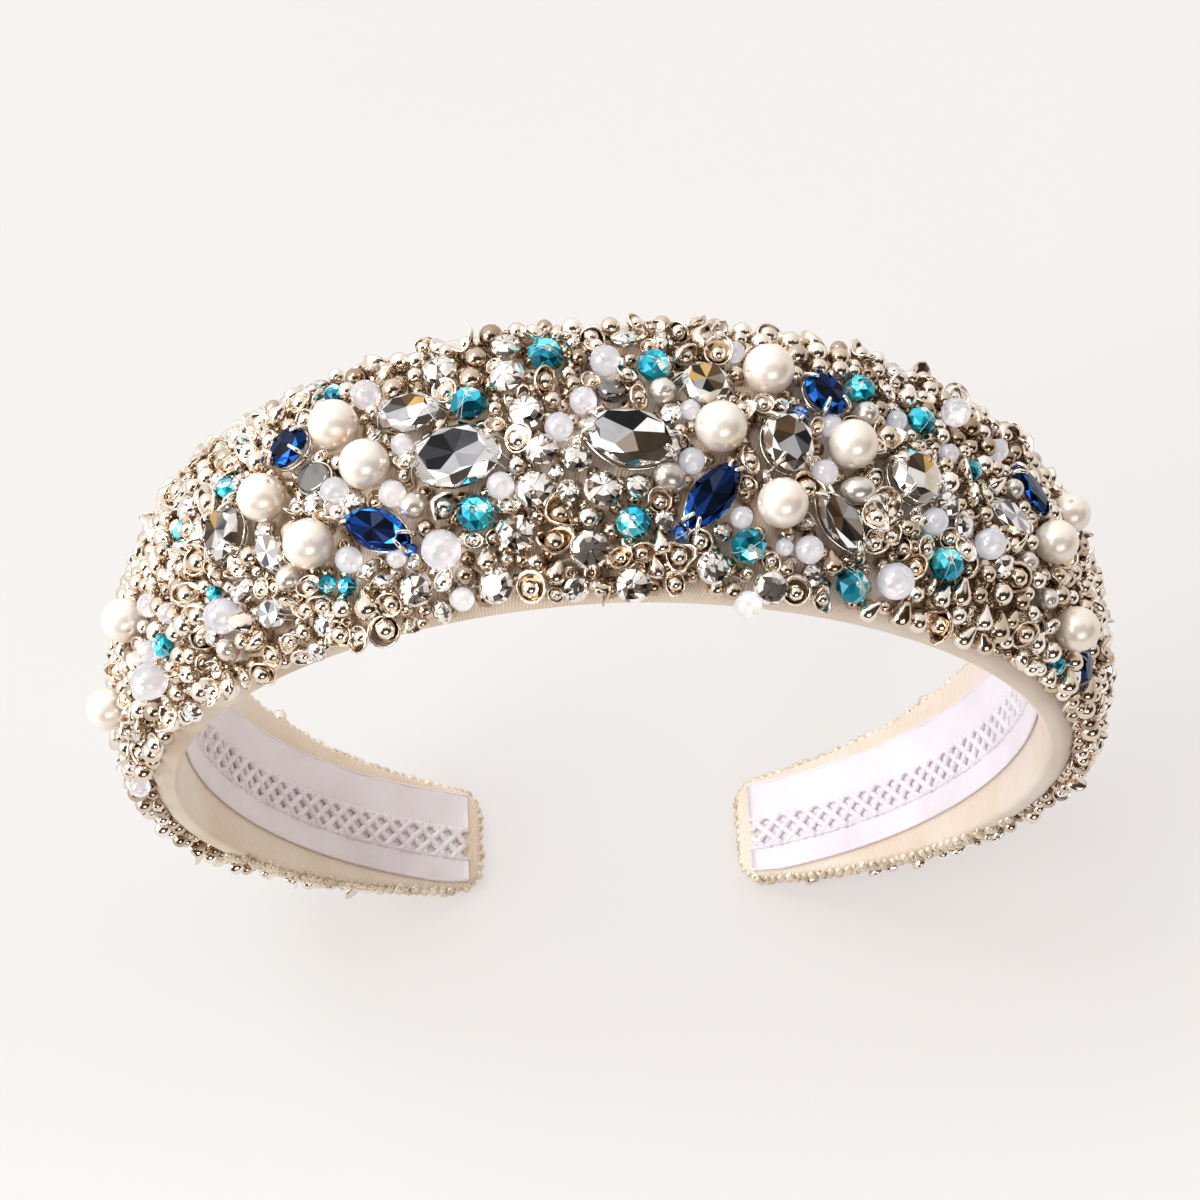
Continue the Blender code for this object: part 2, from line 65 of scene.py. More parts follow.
# ------------------------------------------------------------------ the band, as the CAD has it
HALF_LENGTH = 188.0
BEND_RADIUS = ((0.00, 55.0), (0.25, 74.0), (0.50, 70.0), (0.75, 72.0), (1.00, 60.0))
HALF_WIDTH = (19.8, 17.7, 9.0)
BACK_INSET = 1.0
PAD_THICK = (7.4, 7.6, 4.4)
RIM_THICK = 3.2
PAD_POWER = 2.4
TIP_ROUND = 4.0
TIP_EDGE = 1.4
FOOT_FLAT = 1.8
SEAT = 1.2  # underside of a stone over the satin
TRAY = 0.8  # further lift of a stone held in metal
THREAD_HEIGHT = 3.9
RIM_AT = 0.93  # share of the half width where the padded face turns over the rim

PEARLS = (
    ("pearl_01", -31.5, 6.3, 6.7), ("pearl_02", -27.2, -0.7, 6.6), ("pearl_03", -41.6, -0.1, 6.5),
    ("pearl_04", -34.9, -8.6, 6.6), ("pearl_05", -73.2, -3.2, 6.4), ("pearl_06", -86.2, -9.5, 6.4),
    ("pearl_07", 11.6, -0.4, 6.7), ("pearl_08", 17.7, 8.5, 6.7), ("pearl_09", 26.9, -0.3, 6.5),
    ("pearl_10", 18.1, -9.4, 6.5), ("pearl_11", 68.5, 5.6, 5.8), ("pearl_12", 61.0, -2.2, 6.2),
    ("pearl_13", 67.0, -11.4, 6.4),
)
RONDELLES = (
    ("teal_01", -6.8, 11.8, 4.8), ("teal_02", -15.5, 5.6, 4.9), ("teal_03", 5.2, 9.4, 4.6),
    ("teal_04", -15.0, -9.4, 4.9), ("teal_05", 2.1, -12.0, 4.5), ("teal_06", 14.8, -14.3, 4.6),
    ("teal_07", 27.9, -17.0, 4.7), ("teal_08", 40.8, -11.8, 4.8), ("teal_09", 30.2, 9.8, 4.3),
)
# name, arc position, offset across, long axis, short axis, turn, outline, metal setting, foil
CUT_STONES = (
    ("sapphire_01", -38.7, 6.4, 6.2, 6.2, 0, "oval", True, "blue"),
    ("sapphire_02", -26.6, -8.9, 10.8, 5.6, -32, "navette", True, "blue"),
    ("sapphire_03", 10.6, -8.8, 11.2, 5.4, 54, "navette", True, "blue"),
    ("sapphire_04", 24.8, 7.2, 6.8, 6.0, -70, "oval", True, "blue"),
    ("sapphire_05", 58.2, 4.6, 8.8, 4.8, -30, "navette", True, "blue"),
    ("sapphire_06", 75.8, -13.0, 5.2, 4.0, -30, "oval", False, "blue"),
    ("crystal_01", -16.8, -1.9, 12.4, 9.1, -5, "oval", False, "grey"),
    ("crystal_02", 2.1, -1.8, 12.9, 8.2, -17, "navette", True, "grey"),
    ("crystal_03", -22.7, 6.3, 9.0, 6.2, -12, "oval", False, "smoke"),
    ("crystal_04", -49.0, -1.8, 8.0, 7.0, -85, "oval", True, "smoke"),
    ("crystal_05", -41.9, -6.9, 7.0, 4.6, -65, "navette", False, "clear"),
    ("crystal_06", 10.7, 6.8, 6.8, 6.8, 0, "oval", False, "smoke"),
    ("crystal_07", 19.3, -1.1, 8.8, 7.2, -85, "oval", True, "smoke"),
    ("crystal_08", 25.6, -10.0, 9.8, 5.2, -48, "navette", True, "smoke"),
    ("crystal_09", 35.5, -2.2, 8.4, 7.8, 18, "oval", True, "gold"),
    ("crystal_10", 53.0, -1.4, 9.0, 5.0, -9, "navette", False, "clear"),
    ("crystal_11", -35.1, 0.9, 5.8, 4.6, -20, "disc", False, "slate"),
    ("crystal_12", -43.2, -14.1, 5.0, 4.4, -20, "oval", False, "clear"),
)
THREADS = (
    ("chaton_thread_left", ((-22.8, -16.7, 4.4), (-13.5, -17.8, 4.7), (-2.8, -15.0, 5.0), (-1.1, -8.1, 4.8))),
    ("chaton_thread_right", ((1.8, -18.9, 4.6), (10.7, -17.0, 4.3), (17.5, -18.5, 4.5))),
    ("chaton_thread_middle", ((-10.5, -12.6, 4.8), (-8.3, -7.7, 5.0), (-7.4, -2.7, 4.3), (-9.0, 2.8, 4.8),
                              (-11.1, 8.6, 4.9), (-11.4, 13.6, 4.2), (-19.1, 11.4, 4.7))),
    ("opal_thread_left", ((-68.8, -13.2, 5.2), (-50.2, -12.1, 4.9))),
    ("opal_thread_right", ((33.0, -15.6, 4.9), (36.5, -10.5, 0), (38.7, -8.2, 0), (43.0, -7.6, 0),
                           (47.0, -7.6, 4.3), (44.6, -3.0, 0), (43.5, 4.0, 0), (44.5, 10.4, 4.1))),
    ("opal_thread_front", ((-19.0, -13.1, 5.2),)),
)

# kind, arc position, offset across, size: smaller beads that stand out one by one
SMALL = (
    ("grey", -22.0, -7.0, 3.8), ("grey", 6.1, -6.7, 4.0), ("grey", 5.8, 5.3, 3.9), ("grey", -39.2, -11.1, 3.8),
    ("grey", 30.0, 5.5, 3.9), ("grey", 27.8, -5.8, 4.1), ("grey", 54.6, 3.4, 3.2), ("grey", 55.8, -6.7, 3.3),
    ("grey", 61.0, -6.4, 1.9), ("grey", 61.0, -9.7, 3.4), ("grey", -52.0, -15.6, 3.3),
    ("blue", -23.3, -12.0, 2.1), ("blue", 7.3, -13.2, 2.3), ("blue", 21.6, 4.0, 2.5),
    ("slate", 0.3, 5.5, 3.6), ("stone", 43.4, -6.1, 3.9), ("stone", -3.7, -3.9, 3.8), ("stone", 2.2, 14.0, 3.9),
    ("stone", -42.8, -3.6, 3.4), ("stone", -53.6, -13.0, 3.9), ("stone", -46.8, -10.0, 4.0),
    ("opal", -0.2, 10.1, 4.1), ("opal", -5.5, 0.7, 3.8), ("opal", -2.8, 4.3, 3.6), ("opal", 8.6, -4.3, 3.4),
    ("opal", 8.8, 3.1, 2.7), ("opal", 14.0, -11.0, 2.9), ("opal", -24.6, -4.8, 3.6), ("opal", -32.0, -2.2, 3.8),
    ("opal", -12.1, -6.4, 3.6), ("opal", -30.8, -11.4, 3.6), ("opal", -17.8, -18.6, 3.1), ("opal", 22.0, -13.9, 3.7),
    ("opal", 23.9, -4.1, 3.5), ("opal", 25.3, 3.0, 3.0), ("opal", 38.8, -6.9, 3.6), ("opal", 53.0, 8.8, 3.3),
    ("opal", 42.8, 4.3, 2.7), ("opal", 15.1, -21.2, 3.5), ("opal", 14.8, 12.7, 2.9), ("opal", 19.2, -13.9, 2.3),
    ("opal", -68.2, -3.2, 3.4), ("opal", -63.0, -6.6, 3.0), ("opal", -69.6, -9.1, 3.4), ("opal", -95.2, -17.2, 3.2),
    ("opal", -28.6, 10.8, 4.1), ("opal", -23.5, 1.9, 3.0), ("opal", -25.0, -12.6, 2.6), ("opal", 35.0, 6.6, 2.8),
    ("teal", 38.5, 7.4, 4.1), ("teal", 46.5, 3.1, 3.0), ("teal", -34.4, -13.2, 2.7), ("teal", -31.8, -14.2, 2.7),
    ("teal", -60.0, 4.2, 3.1), ("teal", -50.0, 5.8, 3.3), ("teal", -34.0, 13.6, 3.1), ("teal", -52.8, -8.1, 2.4),
    ("teal", -64.8, -10.2, 3.5), ("teal", -98.0, -9.2, 2.2), ("teal", 67.7, -15.9, 2.8),
)


# ------------------------------------------------------------------ shape functions, on arrays
def blend3(u, values):
    a, b, c = values
    return a * (1 - u) * (1 - 2 * u) + b * 4 * u * (1 - u) + c * u * (2 * u - 1)


ARC_S = np.linspace(0, HALF_LENGTH, 2001)
_bend = np.interp(ARC_S / HALF_LENGTH, [a for a, _ in BEND_RADIUS], [1 / r for _, r in BEND_RADIUS])
_step = ARC_S[1]
ARC_TURN = -np.concatenate([[0], np.cumsum((_bend[1:] + _bend[:-1]) / 2 * _step)])
_c, _n = np.cos(ARC_TURN), np.sin(ARC_TURN)
ARC_X = np.concatenate([[0], np.cumsum((_c[1:] + _c[:-1]) / 2 * _step)])
ARC_Z = np.concatenate([[0], np.cumsum((_n[1:] + _n[:-1]) / 2 * _step)])
Y = np.array([0.0, 1.0, 0.0])


def arc_at(s):
    """Point on the inner face's middle line, direction along the band, and outward direction."""
    s = np.asarray(s, float)
    a, side = np.abs(s), np.where(s < 0, -1.0, 1.0)
    turn = np.interp(a, ARC_S, ARC_TURN)
    zero = np.zeros_like(a)
    point = np.stack([side * np.interp(a, ARC_S, ARC_X), zero, np.interp(a, ARC_S, ARC_Z)], -1)
    along = np.stack([np.cos(turn), zero, side * np.sin(turn)], -1)
    out = np.stack([-side * np.sin(turn), zero, np.cos(turn)], -1)
    return point, along, out


def half_width(s):
    return blend3(np.abs(s) / HALF_LENGTH, HALF_WIDTH)


def satin_middle(s):
    front = -half_width(s)
    back = half_width(s) - BACK_INSET * np.minimum(1.0, (HALF_LENGTH - np.abs(s)) / 30)
    return (front + back) / 2, (back - front) / 2


def pad_height(s, y):
    centre, half = satin_middle(s)
    share = np.minimum(np.abs(y - centre) / half, 1.0)
    return RIM_THICK + (blend3(np.abs(s) / HALF_LENGTH, PAD_THICK) - RIM_THICK) * (1 - share**PAD_POWER)


def section(s, q):
    """Offset across, height over the inner face, and tilt of the outer skin from straight out, at the
    distance q round the band's section from its middle line."""
    c, w = satin_middle(s)
    e = RIM_AT * w
    inside = np.clip(q, -e, e)
    y = c + inside
    h = pad_height(s, y)
    slope = (pad_height(s, y + 0.1) - pad_height(s, y - 0.1)) / 0.2
    sign = np.where(q < 0, -1.0, 1.0)
    tilt = np.arctan(-slope * sign)  # positive leans outwards over the rim
    past = np.maximum(np.abs(q) - e, 0.0)
    radius = (w - e) / (1 - np.sin(np.clip(tilt, 0, 1.2)))
    lean = np.minimum(tilt + past / radius, math.pi / 2)
    straight = np.maximum(0.0, past - radius * (math.pi / 2 - tilt))
    y = np.where(past > 0, y + sign * radius * (np.sin(lean) - np.sin(tilt)), y)
    h = np.where(past > 0, h - radius * (np.cos(tilt) - np.cos(lean)) - straight, h)
    lean = np.where(past > 0, lean, tilt) * sign
    return y, h, lean


def rim_length(s, down_to):
    """The distance q at which the skin has come down to this height over the inner face."""
    c, w = satin_middle(s)
    q = RIM_AT * w
    probe = np.linspace(0, 6, 61)
    heights = section(np.asarray(s)[..., None], q[..., None] + probe)[1]
    return q + probe[np.argmax(heights <= down_to, axis=-1)]


def skin(s, q, over=0.0):
    """Points over the satin's outer skin, with the direction along the band and the skin's normal."""
    s, q = np.broadcast_arrays(np.asarray(s, float), np.asarray(q, float))
    y, h, lean = section(s, q)
    point, along, out = arc_at(s)
    normal = out * np.cos(lean)[..., None] + Y * np.sin(lean)[..., None]
    base = point + Y * y[..., None] + out * h[..., None]
    return base + normal * np.asarray(over)[..., None], along, normal


def frames(along, normal, turn=0.0, tilt=0.0, towards=0.0):
    """Right-handed frames with z out of the skin, x turned from the band's direction, then z leant over by
    tilt towards a direction in the skin. Angles in radians. Returns (n, 3, 3) with the axes as columns."""
    across = np.cross(normal, along)
    turn, tilt, towards = (np.broadcast_to(np.asarray(a, float), along.shape[:-1])[..., None] for a in (turn, tilt, towards))
    x = along * np.cos(turn) + across * np.sin(turn)
    y = -along * np.sin(turn) + across * np.cos(turn)
    lean = along * np.cos(towards) + across * np.sin(towards)
    axis = np.cross(normal, lean)

    def spin(v):
        dot = (v * axis).sum(-1, keepdims=True)
        return v * np.cos(tilt) + np.cross(axis, v) * np.sin(tilt) + axis * dot * (1 - np.cos(tilt))

    return np.stack([spin(x), spin(y), spin(normal)], -1)


def seat(s, y, height, turn_degrees=0.0):
    """The frame of a stone, as the CAD seats it."""
    s, y = float(s), float(y)
    point, along, out = arc_at(s)
    c, w = satin_middle(s)
    yy = min(max(y, c - RIM_AT * w), c + RIM_AT * w)
    slope = (pad_height(s, yy + 0.2) - pad_height(s, yy - 0.2)) / 0.4
    normal = out - Y * slope
    normal /= np.linalg.norm(normal)
    axes = frames(along, normal, math.radians(turn_degrees))
    base = point + Y * y + out * pad_height(s, y) + normal * height
    return base, axes


# ------------------------------------------------------------------ mesh code
class Shape:
    """Vertices and polygons of one small thing, with a material number, a smooth flag and a colour for each polygon."""

    def __init__(self, verts, faces, slots=None, smooth=True, colours=None):
        self.v = np.asarray(verts, float).reshape(-1, 3)
        self.faces = [list(f) for f in faces]
        count = len(self.faces)
        self.slots = list(slots) if slots is not None else [0] * count
        self.smooth = list(smooth) if hasattr(smooth, "__len__") else [smooth] * count
        self.colours = list(colours) if colours is not None else [(1.0, 1.0, 1.0)] * count

    def __add__(self, other):
        shift = len(self.v)
        return Shape(
            np.concatenate([self.v, other.v]),
            self.faces + [[i + shift for i in f] for f in other.faces],
            self.slots + other.slots,
            self.smooth + other.smooth,
            self.colours + other.colours,
        )

    def moved(self, scale=(1, 1, 1), by=(0, 0, 0), turn=None):
        v = self.v * np.array(scale, float)
        if turn is not None:
            v = v @ np.asarray(turn).T
        return Shape(v + np.array(by, float), self.faces, self.slots, self.smooth, self.colours)

    def slotted(self, number):
        return Shape(self.v, self.faces, [number] * len(self.faces), self.smooth, self.colours)

    def triangles(self):
        return sum(len(f) - 2 for f in self.faces)


def lathe(profile, sides, wave=None, smooth=True):
    """A turned shape from (radius, height) rows, top to bottom. Radius 0 closes an end."""
    angles = np.arange(sides) * 2 * math.pi / sides
    rings, verts, faces = [], [], []
    for k, (r, z) in enumerate(profile):
        if r < 1e-6:
            rings.append([len(verts)])
            verts.append((0, 0, z))
            continue
        rings.append(list(range(len(verts), len(verts) + sides)))
        for a in angles:
            rr = r * (1 + (wave(k, a) if wave else 0))
            verts.append((rr * math.cos(a), rr * math.sin(a), z))
    for a, b in zip(rings, rings[1:]):
        for j in range(sides):
            n = (j + 1) % sides
            if len(a) == 1:
                faces.append((a[0], b[j], b[n]))
            elif len(b) == 1:
                faces.append((a[j], b[0], a[n]))
            else:
                faces.append((a[j], b[j], b[n], a[n]))
    return Shape(verts, faces, smooth=smooth)


def tube(points, radii, sides=6, smooth=True, closed=False):
    """A round rod along a line of points, closed at its ends by short rounded caps."""
    p = np.asarray(points, float)
    radii = np.broadcast_to(np.asarray(radii, float), (len(p),))
    if closed:
        step = np.roll(p, -1, 0) - np.roll(p, 1, 0)
    else:
        step = np.gradient(p, axis=0)
    step /= np.linalg.norm(step, axis=1, keepdims=True) + 1e-12
    side = np.cross(step[0], [0.31, 0.24, 0.92])
    if np.linalg.norm(side) < 0.1:
        side = np.cross(step[0], [1.0, 0.0, 0.0])
    side /= np.linalg.norm(side)
    verts, faces, rings = [], [], []
    for k in range(len(p)):
        side = side - step[k] * (side @ step[k])
        side /= np.linalg.norm(side)
        other = np.cross(step[k], side)
        rings.append(range(len(verts), len(verts) + sides))
        for j in range(sides):
            a = 2 * math.pi * j / sides
            verts.append(p[k] + radii[k] * (side * math.cos(a) + other * math.sin(a)))
    pairs = list(zip(rings, rings[1:]))
    if closed:
        pairs.append((rings[-1], rings[0]))
    for a, b in pairs:
        for j in range(sides):
            n = (j + 1) % sides
            faces.append((a[j], a[n], b[n], b[j]))
    if not closed:
        for ring, k, way in ((rings[0], 0, -1), (rings[-1], -1, 1)):
            tip = len(verts)
            verts.append(p[k] + step[k] * way * radii[k] * 0.8)
            for j in range(sides):
                n = (j + 1) % sides
                faces.append((tip, ring[n], ring[j]) if way < 0 else (tip, ring[j], ring[n]))
    return Shape(verts, faces, smooth=smooth)


def write_mesh(name, verts, counts, loops, slots, smooth, materials, tint=None, colours=None, uv=None):
    mesh = bpy.data.meshes.new(name)
    mesh.vertices.add(len(verts))
    mesh.vertices.foreach_set("co", ((np.asarray(verts) + SHIFT) * MM).astype(np.float32).ravel())
    mesh.loops.add(len(loops))
    mesh.loops.foreach_set("vertex_index", np.asarray(loops, np.int32))
    mesh.polygons.add(len(counts))
    mesh.polygons.foreach_set("loop_start", np.concatenate([[0], np.cumsum(counts)[:-1]]).astype(np.int32))
    mesh.polygons.foreach_set("material_index", np.asarray(slots, np.int32))
    mesh.polygons.foreach_set("use_smooth", np.asarray(smooth, bool))
    for m in materials:
        mesh.materials.append(m)
    mesh.update(calc_edges=True)
    if tint is not None:
        mesh.attributes.new("tint", "FLOAT", "POINT").data.foreach_set("value", np.asarray(tint, np.float32))
    if colours is not None:
        rgba = np.ones((len(loops), 4), np.float32)
        rgba[:, :3] = np.repeat(np.asarray(colours), counts, axis=0)
        mesh.attributes.new("foil", "FLOAT_COLOR", "CORNER").data.foreach_set("color", rgba.ravel())
    if uv is not None:
        layer = mesh.uv_layers.new(name="weave")
        layer.data.foreach_set("uv", np.asarray(uv, np.float32).ravel())
    obj = bpy.data.objects.new(name, mesh)
    bpy.context.scene.collection.objects.link(obj)
    return obj


def stamp(name, batches, materials):
    """One joined mesh from batches of (shape, points (n, 3), axes (n, 3, 3), sizes (n,) or (n, 3), tints (n,))."""
    verts, counts, loops, slots, smooth, tints, colours, base = [], [], [], [], [], [], [], 0
    for shape, points, axes, sizes, tint in batches:
        n = len(points)
        if not n:
            continue
        sizes = np.asarray(sizes, float)
        if sizes.ndim == 1:
            sizes = np.repeat(sizes[:, None], 3, axis=1)
        local = shape.v[None] * sizes[:, None, :]
        world = np.einsum("nij,nvj->nvi", axes, local) + np.asarray(points)[:, None, :]
        verts.append(world.reshape(-1, 3))
        c = np.array([len(f) for f in shape.faces])
        l = np.concatenate([np.array(f) for f in shape.faces])
        counts.append(np.tile(c, n))
        loops.append((l[None] + base + len(shape.v) * np.arange(n)[:, None]).ravel())
        slots.append(np.tile(shape.slots, n))
        smooth.append(np.tile(shape.smooth, n))
        colours.append(np.tile(np.array(shape.colours), (n, 1)))
        tints.append(np.repeat(tint, len(shape.v)))
        base += len(shape.v) * n
    return write_mesh(name, np.concatenate(verts), np.concatenate(counts), np.concatenate(loops), np.concatenate(slots),
                      np.concatenate(smooth), materials, np.concatenate(tints), np.concatenate(colours))


def single(name, shape, point, axes, materials, tint=0.5):
    return stamp(name, [(shape, np.array([point]), np.array([axes]), np.array([1.0]), np.array([tint]))], materials)


def keep(piece, slot, *nodes):
    """A finished piece: it rides on the one body, and stands for these nodes of the frame."""
    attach(piece, "root")
    if nodes:
        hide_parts(*nodes)
    return piece


# ------------------------------------------------------------------ materials
def new_material(name):
    m = bpy.data.materials.new(name)
    m.use_nodes = True
    nodes, links = m.node_tree.nodes, m.node_tree.links
    nodes.clear()
    out = nodes.new("ShaderNodeOutputMaterial")
    shader = nodes.new("ShaderNodeBsdfPrincipled")
    links.new(shader.outputs["BSDF"], out.inputs["Surface"])
    return m, nodes, links, shader


def set_inputs(shader, **values):
    for key, value in values.items():
        shader.inputs[key.replace("_", " ")].default_value = value


def ramp(nodes, links, source, stops, interpolation="LINEAR"):
    node = nodes.new("ShaderNodeValToRGB")
    node.color_ramp.interpolation = interpolation
    elements = node.color_ramp.elements
    while len(elements) > 1:
        elements.remove(elements[-1])
    elements[0].position = stops[0][0]
    elements[0].color = (*stops[0][1], 1)
    for at, colour in stops[1:]:
        e = elements.new(at)
        e.color = (*colour, 1)
    links.new(source, node.inputs["Fac"])
    return node.outputs["Color"]


def noise(nodes, links, scale, detail=2.0, vector=None, roughness=0.5):
    node = nodes.new("ShaderNodeTexNoise")
    node.inputs["Scale"].default_value = scale
    node.inputs["Detail"].default_value = detail
    node.inputs["Roughness"].default_value = roughness
    if vector is None:
        coord = nodes.new("ShaderNodeTexCoord")
        vector = coord.outputs["Object"]
    links.new(vector, node.inputs["Vector"])
    return node.outputs["Fac"]


def maths(nodes, links, operation, a, b=None, clamp=False):
    node = nodes.new("ShaderNodeMath")
    node.operation = operation
    node.use_clamp = clamp
    for i, value in enumerate((a, b)):
        if value is None:
            continue
        if isinstance(value, (int, float)):
            node.inputs[i].default_value = value
        else:
            links.new(value, node.inputs[i])
    return node.outputs[0]


def bump(nodes, links, height, strength, distance, shader, normal=None):
    node = nodes.new("ShaderNodeBump")
    node.inputs["Strength"].default_value = strength
    node.inputs["Distance"].default_value = distance
    links.new(height, node.inputs["Height"])
    if normal is not None:
        links.new(normal, node.inputs["Normal"])
    if shader is not None:
        links.new(node.outputs["Normal"], shader.inputs["Normal"])
    return node.outputs["Normal"]


def tinted(nodes):
    node = nodes.new("ShaderNodeAttribute")
    node.attribute_name = "tint"
    return node.outputs["Fac"]


def facing(nodes, links, way):
    """How far the surface turns towards a fixed direction: 1 towards it, 0 away from it."""
    coord = nodes.new("ShaderNodeTexCoord")
    dot = nodes.new("ShaderNodeVectorMath")
    dot.operation = "DOT_PRODUCT"
    links.new(coord.outputs["Normal"], dot.inputs[0])
    dot.inputs[1].default_value = way
    return maths(nodes, links, "ADD", maths(nodes, links, "MULTIPLY", dot.outputs["Value"], 0.5), 0.5)


def multiplied(nodes, links, a, b):
    mix = nodes.new("ShaderNodeMix")
    mix.data_type, mix.blend_type = "RGBA", "MULTIPLY"
    mix.inputs[0].default_value = 1.0
    links.new(a, mix.inputs[6])
    links.new(b, mix.inputs[7])
    return mix.outputs[2]


def silver_material(name, dark, mid, light, rough=(0.10, 0.26)):
    """Polished warm silver: each bead has its own tone, with faint smudges in its polish."""
    m, nodes, links, shader = new_material(name)
    tone = ramp(nodes, links, tinted(nodes), ((0.0, dark), (0.45, mid), (1.0, light)))
    links.new(tone, shader.inputs["Base Color"])
    smudge = noise(nodes, links, 900.0, 2.0)
    span = nodes.new("ShaderNodeMapRange")
    span.inputs["From Min"].default_value = 0.3
    span.inputs["From Max"].default_value = 0.7
    span.inputs["To Min"].default_value = rough[0]
    span.inputs["To Max"].default_value = rough[1]
    links.new(smudge, span.inputs["Value"])
    links.new(span.outputs["Result"], shader.inputs["Roughness"])
    set_inputs(shader, Metallic=1.0)
    bump(nodes, links, noise(nodes, links, 650.0, 1.0), 0.12, 0.0002, shader)
    return m


def pearl_material(name, rim, body, light, metallic=0.0, rough=0.28, painted_emission=0.0):
    """Nacre: a soft metal-like sheen under a thin clear coat, with painted light and shade: lighter on the side that
    faces a fixed light direction up and to the left, darker and peach where it turns away.
    """
    m, nodes, links, shader = new_material(name)
    cloud = noise(nodes, links, 210.0, 3.0)
    tone = ramp(nodes, links, cloud, ((0.3, rim), (0.5, body), (0.72, light)))
    # Painted light and shade: the colour is lighter where the surface faces a fixed light direction and darker, peach,
    # where it turns away.
    painted_light_side = ramp(nodes, links, facing(nodes, links, (-0.30, -0.12, 0.95)), ((0.30, (0.90, 0.79, 0.71)), (0.58, (0.96, 0.90, 0.85)), (0.82, (1.0, 0.985, 0.97)), (1.0, (1.0, 1.0, 1.0))))
    links.new(multiplied(nodes, links, tone, painted_light_side), shader.inputs["Base Color"])
    # The emission is painted light: a faint light that the nacre gives off itself.
    set_inputs(shader, Metallic=metallic, Roughness=rough, Coat_Weight=0.8, Coat_Roughness=0.18, Coat_IOR=1.6,
               Subsurface_Weight=0.35, Subsurface_Radius=(1.0, 0.80, 0.64), Subsurface_Scale=0.0022,
               Emission_Color=(1.0, 0.90, 0.80, 1.0), Emission_Strength=painted_emission)
    bump(nodes, links, noise(nodes, links, 1500.0, 2.0), 0.05, 0.0001, shader)
    return m


def glass_material(name, colour, rough=0.0, ior=1.54):
    m, nodes, links, shader = new_material(name)
    streak = noise(nodes, links, 320.0, 1.0)
    tone = ramp(nodes, links, streak, ((0.3, tuple(c * 0.94 for c in colour)), (0.7, colour)))
    links.new(tone, shader.inputs["Base Color"])
    set_inputs(shader, Transmission_Weight=1.0, Roughness=rough, IOR=ior)
    return m


def foil_material(name, rough=0.05, metallic=1.0, coat=0.0):
    """Mirrored facets or linings, each facet with its own tone; the light and dark facets are painted reflections."""
    m, nodes, links, shader = new_material(name)
    node = nodes.new("ShaderNodeAttribute")
    node.attribute_name = "foil"
    cloud = ramp(nodes, links, noise(nodes, links, 330.0, 2.0), ((0.32, (0.72, 0.71, 0.70)), (0.5, (0.93, 0.93, 0.93)), (0.68, (1.0, 1.0, 1.0))))
    shade = nodes.new("ShaderNodeMix")
    shade.data_type, shade.blend_type = "RGBA", "MULTIPLY"
    shade.inputs[0].default_value = 1.0
    links.new(node.outputs["Color"], shade.inputs[6])
    links.new(cloud, shade.inputs[7])
    links.new(shade.outputs[2], shader.inputs["Base Color"])
    set_inputs(shader, Metallic=metallic, Roughness=rough, Coat_Weight=coat, Coat_Roughness=0.02)
    bump(nodes, links, noise(nodes, links, 420.0, 1.0), 0.06, 0.0002, shader)
    return m


def facet_glass_material(name):
    """Coloured glass bead: each facet has its own tone, the glass's colour with painted light, shade and highlights in
    it, under a wet gloss.
    """
    m, nodes, links, shader = new_material(name)
    node = nodes.new("ShaderNodeAttribute")
    node.attribute_name = "foil"
    links.new(node.outputs["Color"], shader.inputs["Base Color"])
    set_inputs(shader, Roughness=0.06, IOR=1.45, Metallic=0.62, Coat_Weight=0.30, Coat_Roughness=0.02, Coat_IOR=1.45)
    bump(nodes, links, noise(nodes, links, 500.0, 1.0), 0.08, 0.0002, shader)
    return m


def milky_material(name, low, mid, high):
    """Milky glass that gives off painted light: dim and bluish on the side towards the key light, bright and warm on
    the side towards the right front, away from it.
    """
    m, nodes, links, shader = new_material(name)
    cloud = noise(nodes, links, 430.0, 2.0)
    mixed = maths(nodes, links, "ADD", maths(nodes, links, "MULTIPLY", cloud, 0.8), maths(nodes, links, "MULTIPLY", tinted(nodes), 0.2))
    tone = ramp(nodes, links, mixed, ((0.32, low), (0.48, mid), (0.62, high)))
    links.new(tone, shader.inputs["Base Color"])
    # Painted light: the emission colour follows how far the surface turns from a fixed light direction.
    painted_emission_side = ramp(nodes, links, facing(nodes, links, (0.52, -0.72, 0.46)), ((0.38, (0.16, 0.21, 0.34)), (0.66, (0.46, 0.49, 0.60)), (0.93, (1.0, 0.95, 0.94))))
    links.new(painted_emission_side, shader.inputs["Emission Color"])
    set_inputs(shader, Roughness=0.10, IOR=1.24, Transmission_Weight=0.80, Subsurface_Weight=1.0, Subsurface_Radius=(0.85, 0.92, 1.0),
               Subsurface_Scale=0.003, Coat_Weight=1.0, Coat_Roughness=0.015, Coat_IOR=1.75, Emission_Strength=0.27)
    return m


